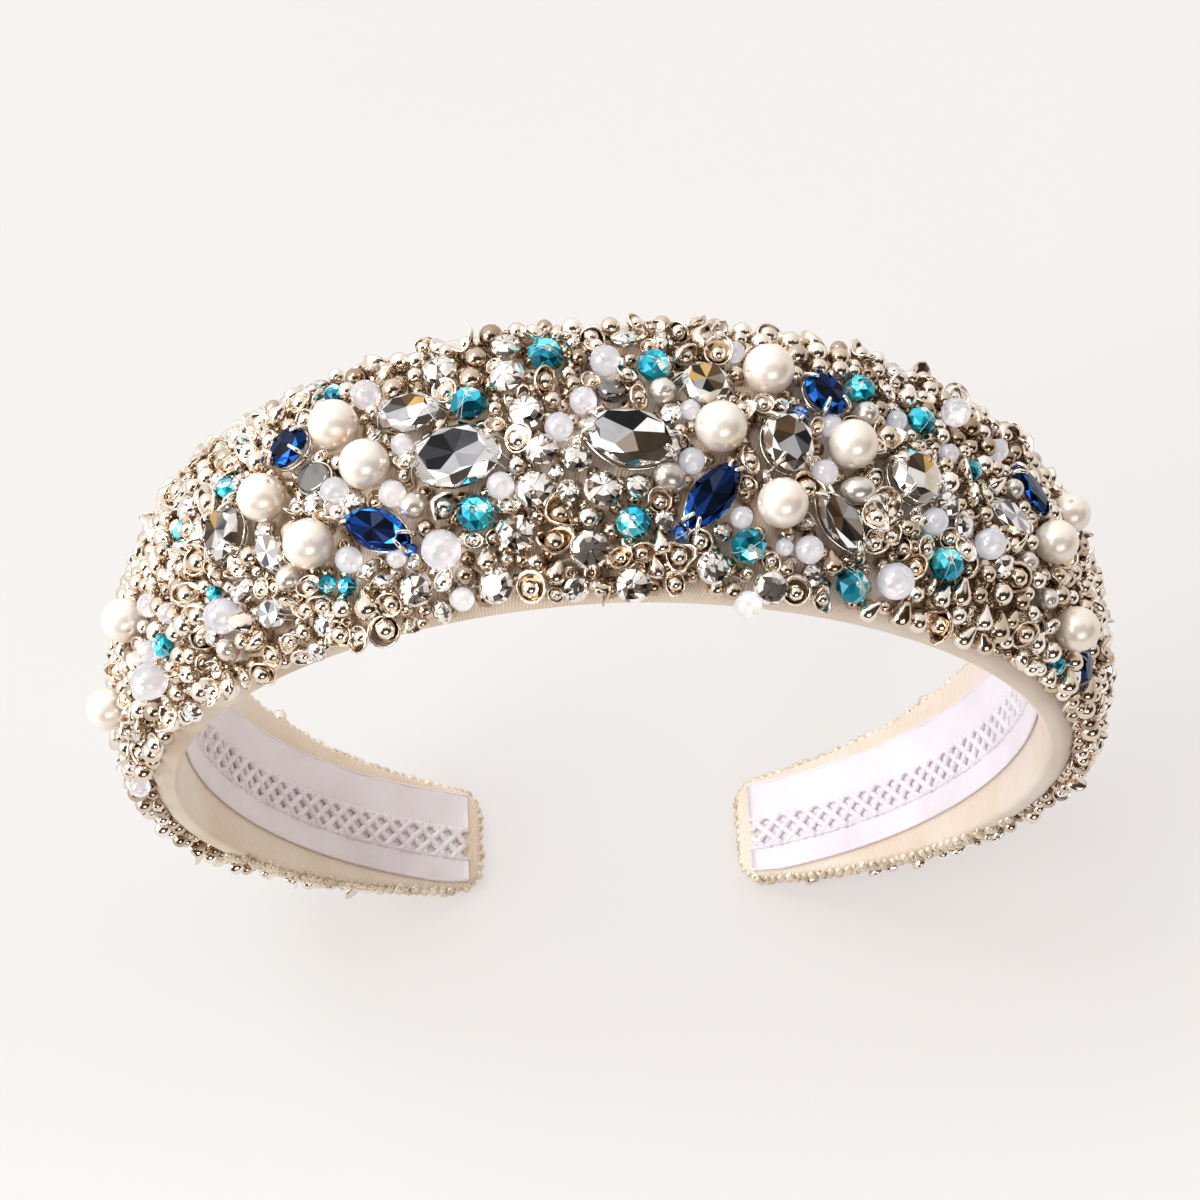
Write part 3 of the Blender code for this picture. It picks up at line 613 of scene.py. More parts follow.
def satin_material():
    m, nodes, links, shader = new_material("champagne_satin")
    uv = nodes.new("ShaderNodeUVMap")
    uv.uv_map = "weave"
    turn = nodes.new("ShaderNodeMapping")
    turn.inputs["Rotation"].default_value = (0, 0, math.radians(14))
    links.new(uv.outputs["UV"], turn.inputs["Vector"])
    wave = nodes.new("ShaderNodeTexWave")
    wave.wave_type, wave.bands_direction = "BANDS", "X"
    wave.inputs["Scale"].default_value = 0.314 / 0.0042
    wave.inputs["Distortion"].default_value = 0.7
    wave.inputs["Detail"].default_value = 1.0
    wave.inputs["Detail Scale"].default_value = 0.6
    links.new(turn.outputs["Vector"], wave.inputs["Vector"])
    cross = nodes.new("ShaderNodeTexWave")
    cross.wave_type, cross.bands_direction = "BANDS", "Y"
    cross.inputs["Scale"].default_value = 0.314 / 0.0028
    cross.inputs["Distortion"].default_value = 1.2
    links.new(uv.outputs["UV"], cross.inputs["Vector"])
    patch = noise(nodes, links, 60.0, 4.0)
    tone = ramp(nodes, links, patch, ((0.32, (0.82, 0.655, 0.50)), (0.5, (0.90, 0.755, 0.605)), (0.68, (0.94, 0.83, 0.705))))
    shade = nodes.new("ShaderNodeMix")
    shade.data_type, shade.blend_type = "RGBA", "MULTIPLY"
    links.new(tone, shade.inputs[6])
    rib = ramp(nodes, links, wave.outputs["Fac"], ((0.0, (0.72, 0.67, 0.62)), (0.55, (1.0, 1.0, 1.0)), (1.0, (1.0, 1.0, 1.0))))
    links.new(rib, shade.inputs[7])
    shade.inputs[0].default_value = 0.9
    # Painted light: by place along the span, the satin turns slightly warmer on the left leg and darker, cooler and
    # greyer on the right.
    coord = nodes.new("ShaderNodeTexCoord")
    split = nodes.new("ShaderNodeSeparateXYZ")
    links.new(coord.outputs["Object"], split.inputs[0])
    painted_span_light = ramp(nodes, links, maths(nodes, links, "ADD", maths(nodes, links, "MULTIPLY", split.outputs["X"], 6.0), 0.5),
                ((0.10, (1.0, 1.0, 0.985)), (0.45, (1.0, 0.985, 0.965)), (0.55, (0.98, 0.975, 0.97)), (0.70, (0.925, 0.935, 0.975)), (0.90, (0.875, 0.89, 0.95))))
    lined = nodes.new("ShaderNodeMix")
    lined.data_type = "RGBA"
    links.new(tinted(nodes), lined.inputs[0])
    links.new(multiplied(nodes, links, shade.outputs[2], painted_span_light), lined.inputs[6])
    lined.inputs[7].default_value = (0.87, 0.82, 0.855, 1.0)
    links.new(lined.outputs[2], shader.inputs["Base Color"])
    set_inputs(shader, Roughness=0.5, Sheen_Weight=0.35, Sheen_Roughness=0.35, Sheen_Tint=(1.0, 0.95, 0.9, 1.0))
    height = maths(nodes, links, "ADD", wave.outputs["Fac"], maths(nodes, links, "MULTIPLY", cross.outputs["Fac"], 0.35))
    first = bump(nodes, links, height, 0.55, 0.00009, None)
    bump(nodes, links, noise(nodes, links, 2600.0, 3.0), 0.25, 0.00008, shader, first)
    return m


def ribbon_material():
    m, nodes, links, shader = new_material("lavender_ribbon")
    uv = nodes.new("ShaderNodeUVMap")
    uv.uv_map = "weave"
    heights = []
    for way, pitch in (("X", 0.0040), ("Y", 0.0030)):
        wave = nodes.new("ShaderNodeTexWave")
        wave.wave_type, wave.bands_direction = "BANDS", way
        wave.inputs["Scale"].default_value = 0.314 / pitch
        wave.inputs["Distortion"].default_value = 0.6
        links.new(uv.outputs["UV"], wave.inputs["Vector"])
        heights.append(wave.outputs["Fac"])
    patch = noise(nodes, links, 90.0, 3.0)
    tone = ramp(nodes, links, patch, ((0.3, (0.78, 0.72, 0.765)), (0.5, (0.84, 0.79, 0.835)), (0.7, (0.88, 0.845, 0.88))))
    # Painted light: by place along the span, the ribbon turns warmer and darker on the left leg and cooler, slightly
    # darker on the right.
    coord = nodes.new("ShaderNodeTexCoord")
    split = nodes.new("ShaderNodeSeparateXYZ")
    links.new(coord.outputs["Object"], split.inputs[0])
    warm = ramp(nodes, links, maths(nodes, links, "ADD", maths(nodes, links, "MULTIPLY", split.outputs["X"], 6.0), 0.5),
                ((0.05, (0.97, 0.905, 0.83)), (0.5, (1.0, 1.0, 1.0)), (0.75, (0.915, 0.905, 0.94))))
    painted_span_light = nodes.new("ShaderNodeMix")
    painted_span_light.data_type, painted_span_light.blend_type = "RGBA", "MULTIPLY"
    painted_span_light.inputs[0].default_value = 1.0
    links.new(tone, painted_span_light.inputs[6])
    links.new(warm, painted_span_light.inputs[7])
    links.new(painted_span_light.outputs[2], shader.inputs["Base Color"])
    set_inputs(shader, Roughness=0.55, Sheen_Weight=0.4, Sheen_Roughness=0.4, Sheen_Tint=(0.97, 0.94, 1.0, 1.0))
    bump(nodes, links, maths(nodes, links, "ADD", heights[0], heights[1]), 0.4, 0.00007, shader)
    return m


def thread_material():
    m, nodes, links, shader = new_material("clear_thread")
    tone = ramp(nodes, links, noise(nodes, links, 500.0, 2.0), ((0.3, (0.78, 0.75, 0.72)), (0.7, (0.95, 0.94, 0.92))))
    links.new(tone, shader.inputs["Base Color"])
    set_inputs(shader, Roughness=0.22, Transmission_Weight=0.35, IOR=1.45)
    return m


def floor_material():
    m, nodes, links, shader = new_material("pale_floor")
    tone = ramp(nodes, links, noise(nodes, links, 3.0, 3.0), ((0.3, (0.2225, 0.243, 0.246)), (0.7, (0.2265, 0.247, 0.250))))
    links.new(tone, shader.inputs["Base Color"])
    # Painted light: the floor gives off warm light of its own, more of it towards the front, which lifts the shade and
    # the shadows on it.
    coord = nodes.new("ShaderNodeTexCoord")
    split = nodes.new("ShaderNodeSeparateXYZ")
    links.new(coord.outputs["Object"], split.inputs[0])
    painted_floor_light = ramp(nodes, links, maths(nodes, links, "ADD", maths(nodes, links, "MULTIPLY", split.outputs["Y"], 5.0), 0.5),
                 ((0.08, (0.990, 0.912, 0.882)), (0.42, (0.885, 0.815, 0.788))))
    links.new(painted_floor_light, shader.inputs["Emission Color"])
    set_inputs(shader, Roughness=0.9, Specular_IOR_Level=0.1, Emission_Strength=0.68)
    return m


SILVER = silver_material("warm_silver", (0.34, 0.235, 0.155), (0.73, 0.61, 0.49), (0.95, 0.885, 0.81), (0.07, 0.18))
BRIGHT = silver_material("bright_silver", (0.66, 0.59, 0.51), (0.82, 0.76, 0.68), (0.93, 0.89, 0.84), (0.06, 0.16))
# The pearl-like materials all carry painted light and shade by side; the ivory pearls also give off a faint painted
# light.
TAN = pearl_material("tan_bead", (0.54, 0.40, 0.27), (0.76, 0.63, 0.48), (0.93, 0.84, 0.72), metallic=0.5, rough=0.36)
PEARL = pearl_material("ivory_pearl", (0.86, 0.765, 0.67), (0.91, 0.835, 0.75), (0.935, 0.88, 0.815), metallic=0.34, rough=0.30, painted_emission=0.02)
GREY_PEARL = pearl_material("grey_pearl", (0.50, 0.45, 0.40), (0.68, 0.635, 0.58), (0.83, 0.80, 0.75), metallic=0.72, rough=0.26)
CLEAR = glass_material("clear_crystal", (0.99, 0.99, 0.985))
TEAL = facet_glass_material("teal_glass")
FOIL = foil_material("facet_foil", 0.05, 0.97, 0.05)
LINING = foil_material("silver_lined_glass", 0.06, 0.92, 0.5)
OPAL = milky_material("milky_opal", (0.76, 0.81, 0.93), (0.87, 0.885, 0.955), (0.97, 0.95, 0.955))
SATIN = satin_material()
RIBBON = ribbon_material()
THREAD = thread_material()


# ------------------------------------------------------------------ satin band
def fold(s, q):
    """Soft folds where the satin is drawn over the rims, in millimetres."""
    c, w = satin_middle(s)
    rim = np.clip((np.abs(q) / w - 0.70) / 0.25, 0, 1)
    wave = 0.5 * np.sin(s * 0.83 + 1.3 * np.sin(s * 0.21)) + 0.3 * np.sin(s * 1.57 + 2.1) + 0.2 * np.sin(s * 2.9 + q * 0.4)
    return 0.10 * rim * wave


def satin_stations():
    main = np.linspace(0, HALF_LENGTH - TIP_ROUND, 200)
    tip = HALF_LENGTH - TIP_ROUND * (1 - np.sin(np.linspace(0, math.pi / 2, 15)[1:]))
    half = np.concatenate([main, tip])
    return np.concatenate([-half[:0:-1], half])


def make_satin():
    level = None
    probe = HALF_LENGTH - np.linspace(0, 20, 81)
    p, _, out = arc_at(probe)
    level = float((p + out * pad_height(probe, 0.0)[:, None])[:, 2].min()) + FOOT_FLAT
    s = satin_stations()[:, None]
    c, w = satin_middle(s)
    left = HALF_LENGTH - np.abs(s)
    narrow = np.where(left < TIP_ROUND, TIP_ROUND - np.sqrt(np.maximum(TIP_ROUND**2 - (TIP_ROUND - left) ** 2, 0)), 0.0)
    narrow = np.minimum(narrow, 0.8 * w - 3.0)
    edge = np.where(left < TIP_EDGE, TIP_EDGE - np.sqrt(np.maximum(TIP_EDGE**2 - (TIP_EDGE - left) ** 2, 0)), 0.0)
    reach = rim_length(s[:, 0], 0.9)[:, None]
    share = np.concatenate([np.linspace(-1, -0.86, 12)[:-1], np.linspace(-0.86, 0.86, 30), np.linspace(0.86, 1, 12)[1:]])[None]
    q = share * reach
    y, h, _ = section(s, q)
    h = h + fold(s, q)
    lower_y, lower_h, lower_v = [], [], []
    for k in range(1, 6):  # round the lower back edge, then across the inner face, then the lower front edge
        a = math.radians(90 * k / 6)
        lower_y.append(c + w - 0.9 * (1 - math.cos(a)))
        lower_h.append(0.9 - 0.9 * math.sin(a) + 0 * c)
        lower_v.append(reach + 0.24 * k)
    for k in np.linspace(1, -1, 13):
        lower_y.append(c + (w - 0.9) * k)
        lower_h.append(0.12 * fold(s, w * 0.97) * abs(k) + 0 * c)
        lower_v.append(reach + 1.4 + (w - 0.9) * (1 - k))
    for k in range(5, 0, -1):
        a = math.radians(90 * k / 6)
        lower_y.append(c - w + 0.9 * (1 - math.cos(a)))
        lower_h.append(0.9 - 0.9 * math.sin(a) + 0 * c)
        lower_v.append(reach + 1.4 + 2 * (w - 0.9) + 0.24 * (6 - k))
    y = np.concatenate([y] + lower_y, axis=1)
    h = np.concatenate([h] + lower_h, axis=1)
    v = np.concatenate([q] + lower_v, axis=1)
    y = c + (y - c) * (w - narrow) / w
    top = pad_height(s, c)
    h = edge * 0.55 + h * (top - edge * 1.1) / top
    point, _, out = arc_at(s[:, 0])
    verts = point[:, None] + Y * y[..., None] + out[:, None] * h[..., None]
    # The satin is pressed flat where it stands, with a soft shoulder round the flat.
    z = verts[..., 2]
    over = z - level
    verts[..., 2] = level + 0.5 * (over + np.sqrt(over**2 + 0.02))
    verts[..., 2] = np.maximum(verts[..., 2], FLOOR_Z)
    rows, cols = y.shape
    index = np.arange(rows * cols).reshape(rows, cols)
    nxt = np.roll(index, -1, axis=1)
    faces = np.stack([index[:-1], nxt[:-1], nxt[1:], index[1:]], -1).reshape(-1, 4)[:, ::-1]
    vv = np.concatenate([v, v[:, :1] + 2 * (reach + w) + 1.0], axis=1)
    j = np.arange(cols)
    uv = np.zeros((rows - 1, cols, 4, 2))
    for corner, (dr, dc) in enumerate(((1, 0), (1, 1), (0, 1), (0, 0))):
        uv[:, :, corner, 0] = s[dr : rows - 1 + dr] / 100
        uv[:, :, corner, 1] = vv[dr : rows - 1 + dr, j + dc] / 100
    uv = uv.reshape(-1, 2)
    counts = [4] * len(faces) + [cols, cols]
    loops = np.concatenate([faces.ravel(), index[0], index[-1][::-1]])
    ends = np.concatenate([np.stack([0 * v[0] + s[0] / 100, y[0] / 100], -1), np.stack([0 * v[-1] + s[-1] / 100, y[-1][::-1] / 100], -1)])
    inner = np.zeros((rows, cols), bool)
    inner[:, share.shape[1] + 5 : share.shape[1] + 18] = True
    lining = inner & (y > LATTICE[0] - 2.4) & (y < LATTICE[1] + 2.4) & (np.abs(s) < 183.5)
    obj = write_mesh("satin_cover", verts.reshape(-1, 3), counts, loops, [0] * len(counts), [True] * len(counts), [SATIN],
                     tint=lining.ravel().astype(float), uv=np.concatenate([uv, ends]))
    return keep(obj, "satin", "satin_band")


# ------------------------------------------------------------------ ribbon inside
RIBBON_EDGE = (-8.9, 8.3)
LATTICE = (-4.2, 1.3)
RIBBON_END = 185.4
LATTICE_PITCH = 3.4


def inner_point(s, y, height):
    point, _, out = arc_at(s)
    return point + Y * np.asarray(y)[..., None] + out * np.asarray(height)[..., None]


def ribbon_limits(s):
    low_y = np.maximum(RIBBON_EDGE[0], -half_width(s) + 1.1)
    back = half_width(s) - BACK_INSET * np.minimum(1.0, (HALF_LENGTH - np.abs(s)) / 30)
    return low_y, np.minimum(RIBBON_EDGE[1], back - 1.1)


def strip(low_of, high_of, columns):
    """A woven strip on the inner face: thin and closed, with rounded selvedges, and its place for the weave."""
    s = np.linspace(-RIBBON_END, RIBBON_END, 300)[:, None]
    a, b = low_of(s), high_of(s)
    share = np.concatenate([[0.0, 0.012, 0.035], np.linspace(0.07, 0.93, columns), [0.965, 0.988, 1.0]])[None]
    bulge = 1 - np.clip(np.abs(share - 0.5) * 2, 0, 1) ** 24
    ripple = 0.05 * np.sin(s * 0.55 + 3 * share) + 0.03 * np.sin(s * 1.3 + 7 * share)
    y = a + (b - a) * share
    upper = inner_point(s + 0 * y, y, -0.10 - 0.05 * bulge)
    under = inner_point(s + 0 * y, y, -0.22 - 0.26 * bulge + ripple * bulge)
    rows, cols = y.shape
    index = np.arange(rows * cols).reshape(rows, cols)
    down = index + rows * cols
    quads = []

    def add(grid, flip):
        f = np.stack([grid[:-1, :-1], grid[:-1, 1:], grid[1:, 1:], grid[1:, :-1]], -1).reshape(-1, 4)
        quads.append(f[:, ::-1] if flip else f)

    add(index, True)
    add(down, False)
    add(np.stack([index[:, 0], down[:, 0]], 1), False)
    add(np.stack([index[:, -1], down[:, -1]], 1), True)
    add(np.stack([index[0], down[0]], 0), True)
    add(np.stack([index[-1], down[-1]], 0), False)
    place = np.stack([(s + 0 * y).ravel() / 100, y.ravel() / 100], -1)
    verts = np.concatenate([upper.reshape(-1, 3), under.reshape(-1, 3)])
    return verts, np.concatenate(quads), np.concatenate([place, place])


def make_ribbon():
    parts = [strip(lambda s: LATTICE[1] + 0 * s, lambda s: ribbon_limits(s)[1], 8),
             strip(lambda s: ribbon_limits(s)[0], lambda s: np.maximum(LATTICE[0] + 0 * s, ribbon_limits(s)[0] + 1.2), 6)]

    def cord(s, y, height, radius, sides):
        shape = tube(inner_point(s, y, height), radius, sides)
        around = np.minimum(np.arange(len(shape.v)) // sides, len(s) - 1)
        parts.append((shape.v, shape.faces, np.stack([s[around] / 100, (y + 0 * s)[around] / 100], -1)))

    # Two sets of slanting cords that cross over and under each other, between two straight edge cords.
    a, b = LATTICE[0] - 0.1, LATTICE[1] + 0.1
    run = b - a
    for way in (1, -1):
        for s0 in np.arange(-RIBBON_END - run, RIBBON_END, LATTICE_PITCH):
            t = np.linspace(0, 1, 9)
            s = s0 + run * t if way > 0 else s0 + run * (1 - t)
            inside = np.abs(s) < RIBBON_END - 0.2
            if inside.sum() < 4:
                continue
            s, y = s[inside], a + run * t[inside]
            lift = 0.16 * np.cos(math.pi * (s - way * (y - a)) / LATTICE_PITCH + (0 if way > 0 else math.pi))
            cord(s, y, -0.36 + lift, 0.60, 6)
    s = np.linspace(-RIBBON_END, RIBBON_END, 330)
    wobble = 0.06 * np.sin(s * 2 * math.pi / LATTICE_PITCH)
    for y0 in (a + 0.15, b - 0.15):
        cord(s, y0 + wobble, -0.36 + 0 * s, 0.42, 6)
    cord(s, ribbon_limits(s)[0] + 0.18, -0.36 + 0 * s, 0.30, 6)
    cord(s, ribbon_limits(s)[1] - 0.18, -0.36 + 0 * s, 0.22, 6)
    counts = np.concatenate([[len(f) for f in faces] for _, faces, _ in parts])
    loops, base = [], 0
    for verts, faces, _ in parts:
        loops.append(np.concatenate([np.asarray(f) for f in faces]) + base)
        base += len(verts)
    loops = np.concatenate(loops)
    place = np.concatenate([uv for _, _, uv in parts])
    obj = write_mesh("woven_ribbon", np.concatenate([verts for verts, _, _ in parts]), counts, loops, [0] * len(counts),
                     [True] * len(counts), [RIBBON], uv=place[loops])
    return keep(obj, "ribbon", "inner_ribbon")


# ------------------------------------------------------------------ cut stones
# Facet tones for foiled stones and glass beads: the stones' own colours with painted reflections and painted light in
# them, such as white and near-black facets, bright azure edge facets on the blue stones and a near-white highlight
# facet on the teal beads.
FOILS = {
    "clear": ((0.40, 0.37, 0.34), (0.78, 0.75, 0.72), (0.92, 0.90, 0.88), (0.97, 0.96, 0.95), (0.97, 0.96, 0.95), (0.62, 0.58, 0.54), (0.86, 0.85, 0.83)),
    "blue": ((0.001, 0.003, 0.011), (0.003, 0.008, 0.035), (0.004, 0.017, 0.085), (0.008, 0.040, 0.20), (0.002, 0.005, 0.020), (0.03, 0.05, 0.10)),
    "blue edge": ((0.010, 0.07, 0.34), (0.02, 0.30, 0.88), (0.004, 0.014, 0.068), (0.003, 0.010, 0.042), (0.012, 0.12, 0.50), (0.005, 0.030, 0.14)),
    "bead blue": ((0.005, 0.03, 0.16), (0.01, 0.07, 0.34), (0.02, 0.14, 0.55), (0.30, 0.50, 0.80)),
    "teal": ((0.0, 0.075, 0.12), (0.006, 0.30, 0.43), (0.02, 0.54, 0.70), (0.16, 0.84, 0.95), (0.0, 0.17, 0.24), (0.90, 1.0, 1.0)),
    "bright": ((0.98, 0.97, 0.95), (0.95, 0.92, 0.89), (0.94, 0.90, 0.85), (0.98, 0.96, 0.94), (0.82, 0.74, 0.65), (0.50, 0.39, 0.29)),
    "bright dark": ((0.10, 0.062, 0.038), (0.20, 0.135, 0.088), (0.42, 0.31, 0.22), (0.13, 0.085, 0.055)),
    "streak": ((0.11, 0.07, 0.045), (0.92, 0.88, 0.82), (0.97, 0.95, 0.92), (0.36, 0.27, 0.20), (0.78, 0.69, 0.59), (0.95, 0.92, 0.88)),
}
K, G, L, W, B, O, T, N, C = ((0.016, 0.016, 0.018), (0.12, 0.12, 0.13), (0.46, 0.45, 0.47), (0.95, 0.94, 0.93), (0.055, 0.038, 0.024), (0.72, 0.45, 0.17),
                             (0.34, 0.285, 0.24), (0.13, 0.078, 0.040), (0.84, 0.74, 0.60))
# the tones of a crystal's eight facets round its middle, from its +X end towards its back, with the light or dark
# that each facet reflects painted in over the stone's own colour: black, grey, light, white, dark brown, amber, taupe,
# brown, cream
FACETS = {
    "crystal_01": (L, (0.085, 0.09, 0.10), (0.05, 0.05, 0.055), K, (0.042, 0.042, 0.045), K, L, (0.34, 0.34, 0.37)), "crystal_02": (B, W, K, K, L, L, T, B), "crystal_03": (W, O, N, B, G, L, L, W),
    "crystal_04": (W, L, G, T, O, N, B, T), "crystal_05": (W, L, W, T, W, L, W, G), "crystal_06": (T, N, O, B, O, L, K, N),
    "crystal_07": (L, G, K, T, N, N, B, L), "crystal_08": (B, T, L, T, N, B, N, K), "crystal_09": (C, O, N, B, W, W, C, C),
    "crystal_10": (W, L, W, G, W, L, W, L), "crystal_12": (W, L, G, W, L, W, T, W),
}


def girdle_point(kind, long, short, angle, scale=1.0):
    c, n = np.cos(angle), np.sin(angle)
    if kind == "navette":
        x = np.sign(c) * np.abs(c) ** 1.15
        y = n * (0.72 + 0.28 * np.abs(n))
        return np.array([long / 2 * x * scale, short / 2 * y * scale])
    return np.array([long / 2 * c * scale, short / 2 * n * scale])


def stone_height(short):
    return max(2.4, 0.46 * short)


def cut_stone(kind, long, short, tall, tones, stars, border, rng, inner=0.70, m=8):
    """A foiled stone: long kites that meet over its middle, star facets between them, and a sloping border of
    small facets down to the girdle. Each facet has its own tone: the stone's colour with the light or dark that it
    reflects painted in."""
    verts, faces, colours = [], [], []

    def ring(count, shift, scale, z, wobble=0.0):
        start = len(verts)
        for k in range(count):
            a = 2 * math.pi * (k + shift + wobble * rng.uniform(-1, 1)) / count
            x, y = girdle_point(kind, long, short, a, scale * (1 + 0.6 * wobble * rng.uniform(-1, 1)))
            verts.append((x, y, z))
        return [start + k for k in range(count)]

    tip = len(verts)
    verts.append((long * 0.04 * rng.uniform(-1, 1), short * 0.05 * rng.uniform(-1, 1), tall * 0.955))
    M = ring(m, 0.5, inner * 0.84, tall * 0.93, 0.05)
    A = ring(m, 0.0, inner, tall * 0.915, 0.07)
    B = ring(m, 0.5, (inner + 1) / 2 + 0.01, tall * 0.80, 0.05)
    C = ring(2 * m, 0.0, 0.985, tall * 0.585)
    D = ring(2 * m, 0.0, 1.0, tall * 0.54)
    E = ring(2 * m, 0.0, 1.0, tall * 0.47)
    low = len(verts)
    verts.append((0.0, 0.0, 0.0))

    def face(points, tone, spread=0.12):
        faces.append(points)
        colours.append(tuple(np.clip(np.array(tone) * rng.uniform(1 - spread, 1 + spread / 2), 0, 1)))

    def some(rows):
        return rows[int(rng.integers(len(rows)))]

    for k in range(m):
        n, p = (k + 1) % m, (k - 1) % m
        face([tip, M[p], A[k], M[k]], tones[k % len(tones)], 0.05)
        face([A[k], A[n], M[k]], some(stars))
        face([A[k], B[k], A[n]], some(border))
        face([A[k], B[p], C[2 * k], B[k]], some(border))
        face([B[k], C[2 * k], C[2 * k + 1]], some(border))
        face([B[k], C[2 * k + 1], C[(2 * k + 2) % (2 * m)]], some(border))
    for k in range(2 * m):
        n = (k + 1) % (2 * m)
        face([C[k], D[k], D[n], C[n]], some(border))
        face([D[k], E[k], E[n], D[n]], border[0])
        face([E[k], low, E[n]], border[0])
    return Shape(verts, faces, None, False, colours)


def brilliant(rng):
    """A round foiled rhinestone of width 1, the girdle at height 0: uneven bright rays with dark ones between them,
    painted into the facets' tones as reflections.
    """
    m = int(rng.integers(8, 11))
    light, dark = np.array(FOILS["bright"]), np.array(FOILS["bright dark"])
    verts, faces, colours = [(rng.uniform(-0.04, 0.04), rng.uniform(-0.04, 0.04), 0.215)], [], []
    narrow = rng.uniform(0.08, 0.44, 2 * m)
    sway = rng.uniform(-0.16, 0.16, m + 1)
    sway[m] = sway[0]
    off = rng.uniform(-0.045, 0.045, 2)

    def ring(radius, z, wide, loose):
        start = len(verts)
        for k in range(2 * m):
            middle = (k // 2) + (0.0 if k % 2 == 0 else 1.0)
            middle += sway[int(middle)] + (narrow[k] * wide if k % 2 == 0 else -narrow[k] * wide)
            a = 2 * math.pi / m * middle
            verts.append((radius * math.cos(a) + loose * off[0], radius * math.sin(a) + loose * off[1], z))
        return [start + k for k in range(2 * m)]

    A, B, C, D, E = ring(0.13, 0.225, 0.5, 1.4), ring(0.28, 0.205, 0.25, 1.0), ring(0.42, 0.125, 0.7, 0.5), ring(0.50, 0.02, 0.9, 0.0), ring(0.49, -0.05, 0.9, 0.0)

    def face(points, rows):
        faces.append(points)
        colours.append(tuple(np.clip(rows[int(rng.integers(len(rows)))] * rng.uniform(0.86, 1.03), 0, 1)))

    for k in range(2 * m):
        n = (k + 1) % (2 * m)
        wide = k % 2 == 0
        bold = rng.random()
        face([0, A[k], A[n]], light[:4] if bold < 0.80 else dark)
        face([A[k], B[k], B[n], A[n]], light[:4] if bold < (0.94 if wide else 0.46) else dark)
        face([B[k], C[k], C[n]], light[:4] if bold < (0.94 if wide else 0.34) else dark)
        face([B[k], C[n], B[n]], light[:5] if rng.random() < 0.78 else dark)
        face([C[k], D[k], D[n]], light)
        face([C[k], D[n], C[n]], light if rng.random() < 0.84 else dark)
        face([D[k], E[k], E[n], D[n]], light[:5])
    cup = lathe(((0.42, -0.05), (0.475, -0.05), (0.465, -0.14), (0.36, -0.28), (0.0, -0.36)), 12)
    stone = Shape(verts, faces, [1] * len(faces), False, colours)
    return stone + cup.slotted(2)


def make_settings_shape(kind, long, short, tall):
    """A wire gallery under the stone and claws that bend over its girdle."""
    parts = []
    angles = np.linspace(0, 2 * math.pi, 33)[:-1]
    for scale, z, r in ((0.93, tall * 0.26, 0.22), (0.78, 0.05, 0.22)):
        ringed = [(*girdle_point(kind, long, short, a, scale), z) for a in angles]
        parts.append(tube(ringed, r, 6, closed=True))
    if kind == "navette":
        claws = (24.0, 156.0, 204.0, 336.0)
    else:
        claws = (38.0, 142.0, 218.0, 322.0)
    for degrees in claws:
        a = math.radians(degrees)
        p = girdle_point(kind, long, short, a)
        out = np.array([math.cos(a) / long, math.sin(a) / short])
        out /= np.linalg.norm(out)
        inward = -p / np.linalg.norm(p)
        inward = 0.55 * inward - 0.45 * out
        rows = ((p * 0.84, 0.0), (p + out * 0.22, tall * 0.18), (p + out * 0.36, tall * 0.55), (p + out * 0.20, tall * 0.80),
                (p + inward * 0.50, tall * 0.97), (p + inward * 1.15, tall * 1.04))
        line = np.array([(x, y, z) for (x, y), z in rows])
        t = np.linspace(0, len(line) - 1, 14)
        smooth = np.stack([np.interp(t, range(len(line)), line[:, k]) for k in range(3)], -1)
        smooth[1:-1] = (smooth[:-2] + 2 * smooth[1:-1] + smooth[2:]) / 4
        parts.append(tube(smooth, np.interp(t, (0, 3, 5), (0.34, 0.33, 0.27)), 8))
    whole = parts[0]
    for part in parts[1:]:
        whole = whole + part
    return whole


def end_stitches(kind, long, short, tall, rng):
    """Clear threads that hold a stone down over both of its ends."""
    whole = None
    for side in (0.0, math.pi):
        for k in range(3):
            a = side + (k - 1) * 0.38 + rng.uniform(-0.12, 0.12)
            inner = girdle_point(kind, long, short, a + rng.uniform(-0.3, 0.3), 0.80)
            rim = girdle_point(kind, long, short, a, 1.02)
            foot = girdle_point(kind, long, short, a, 1.0) * 1.0
            foot = foot + foot / np.linalg.norm(foot) * rng.uniform(0.5, 1.0)
            rows = np.array([(*inner, tall * 0.93), (*((inner + rim) / 2), tall * 0.88), (*rim, tall * 0.66), (*foot, tall * 0.1)])
            t = np.linspace(0, 3, 10)
            line = np.stack([np.interp(t, range(4), rows[:, j]) for j in range(3)], -1)
            line[1:-1] = (line[:-2] + 2 * line[1:-1] + line[2:]) / 4
            part = tube(line, 0.085, 5)
            whole = part if whole is None else whole + part
    return whole


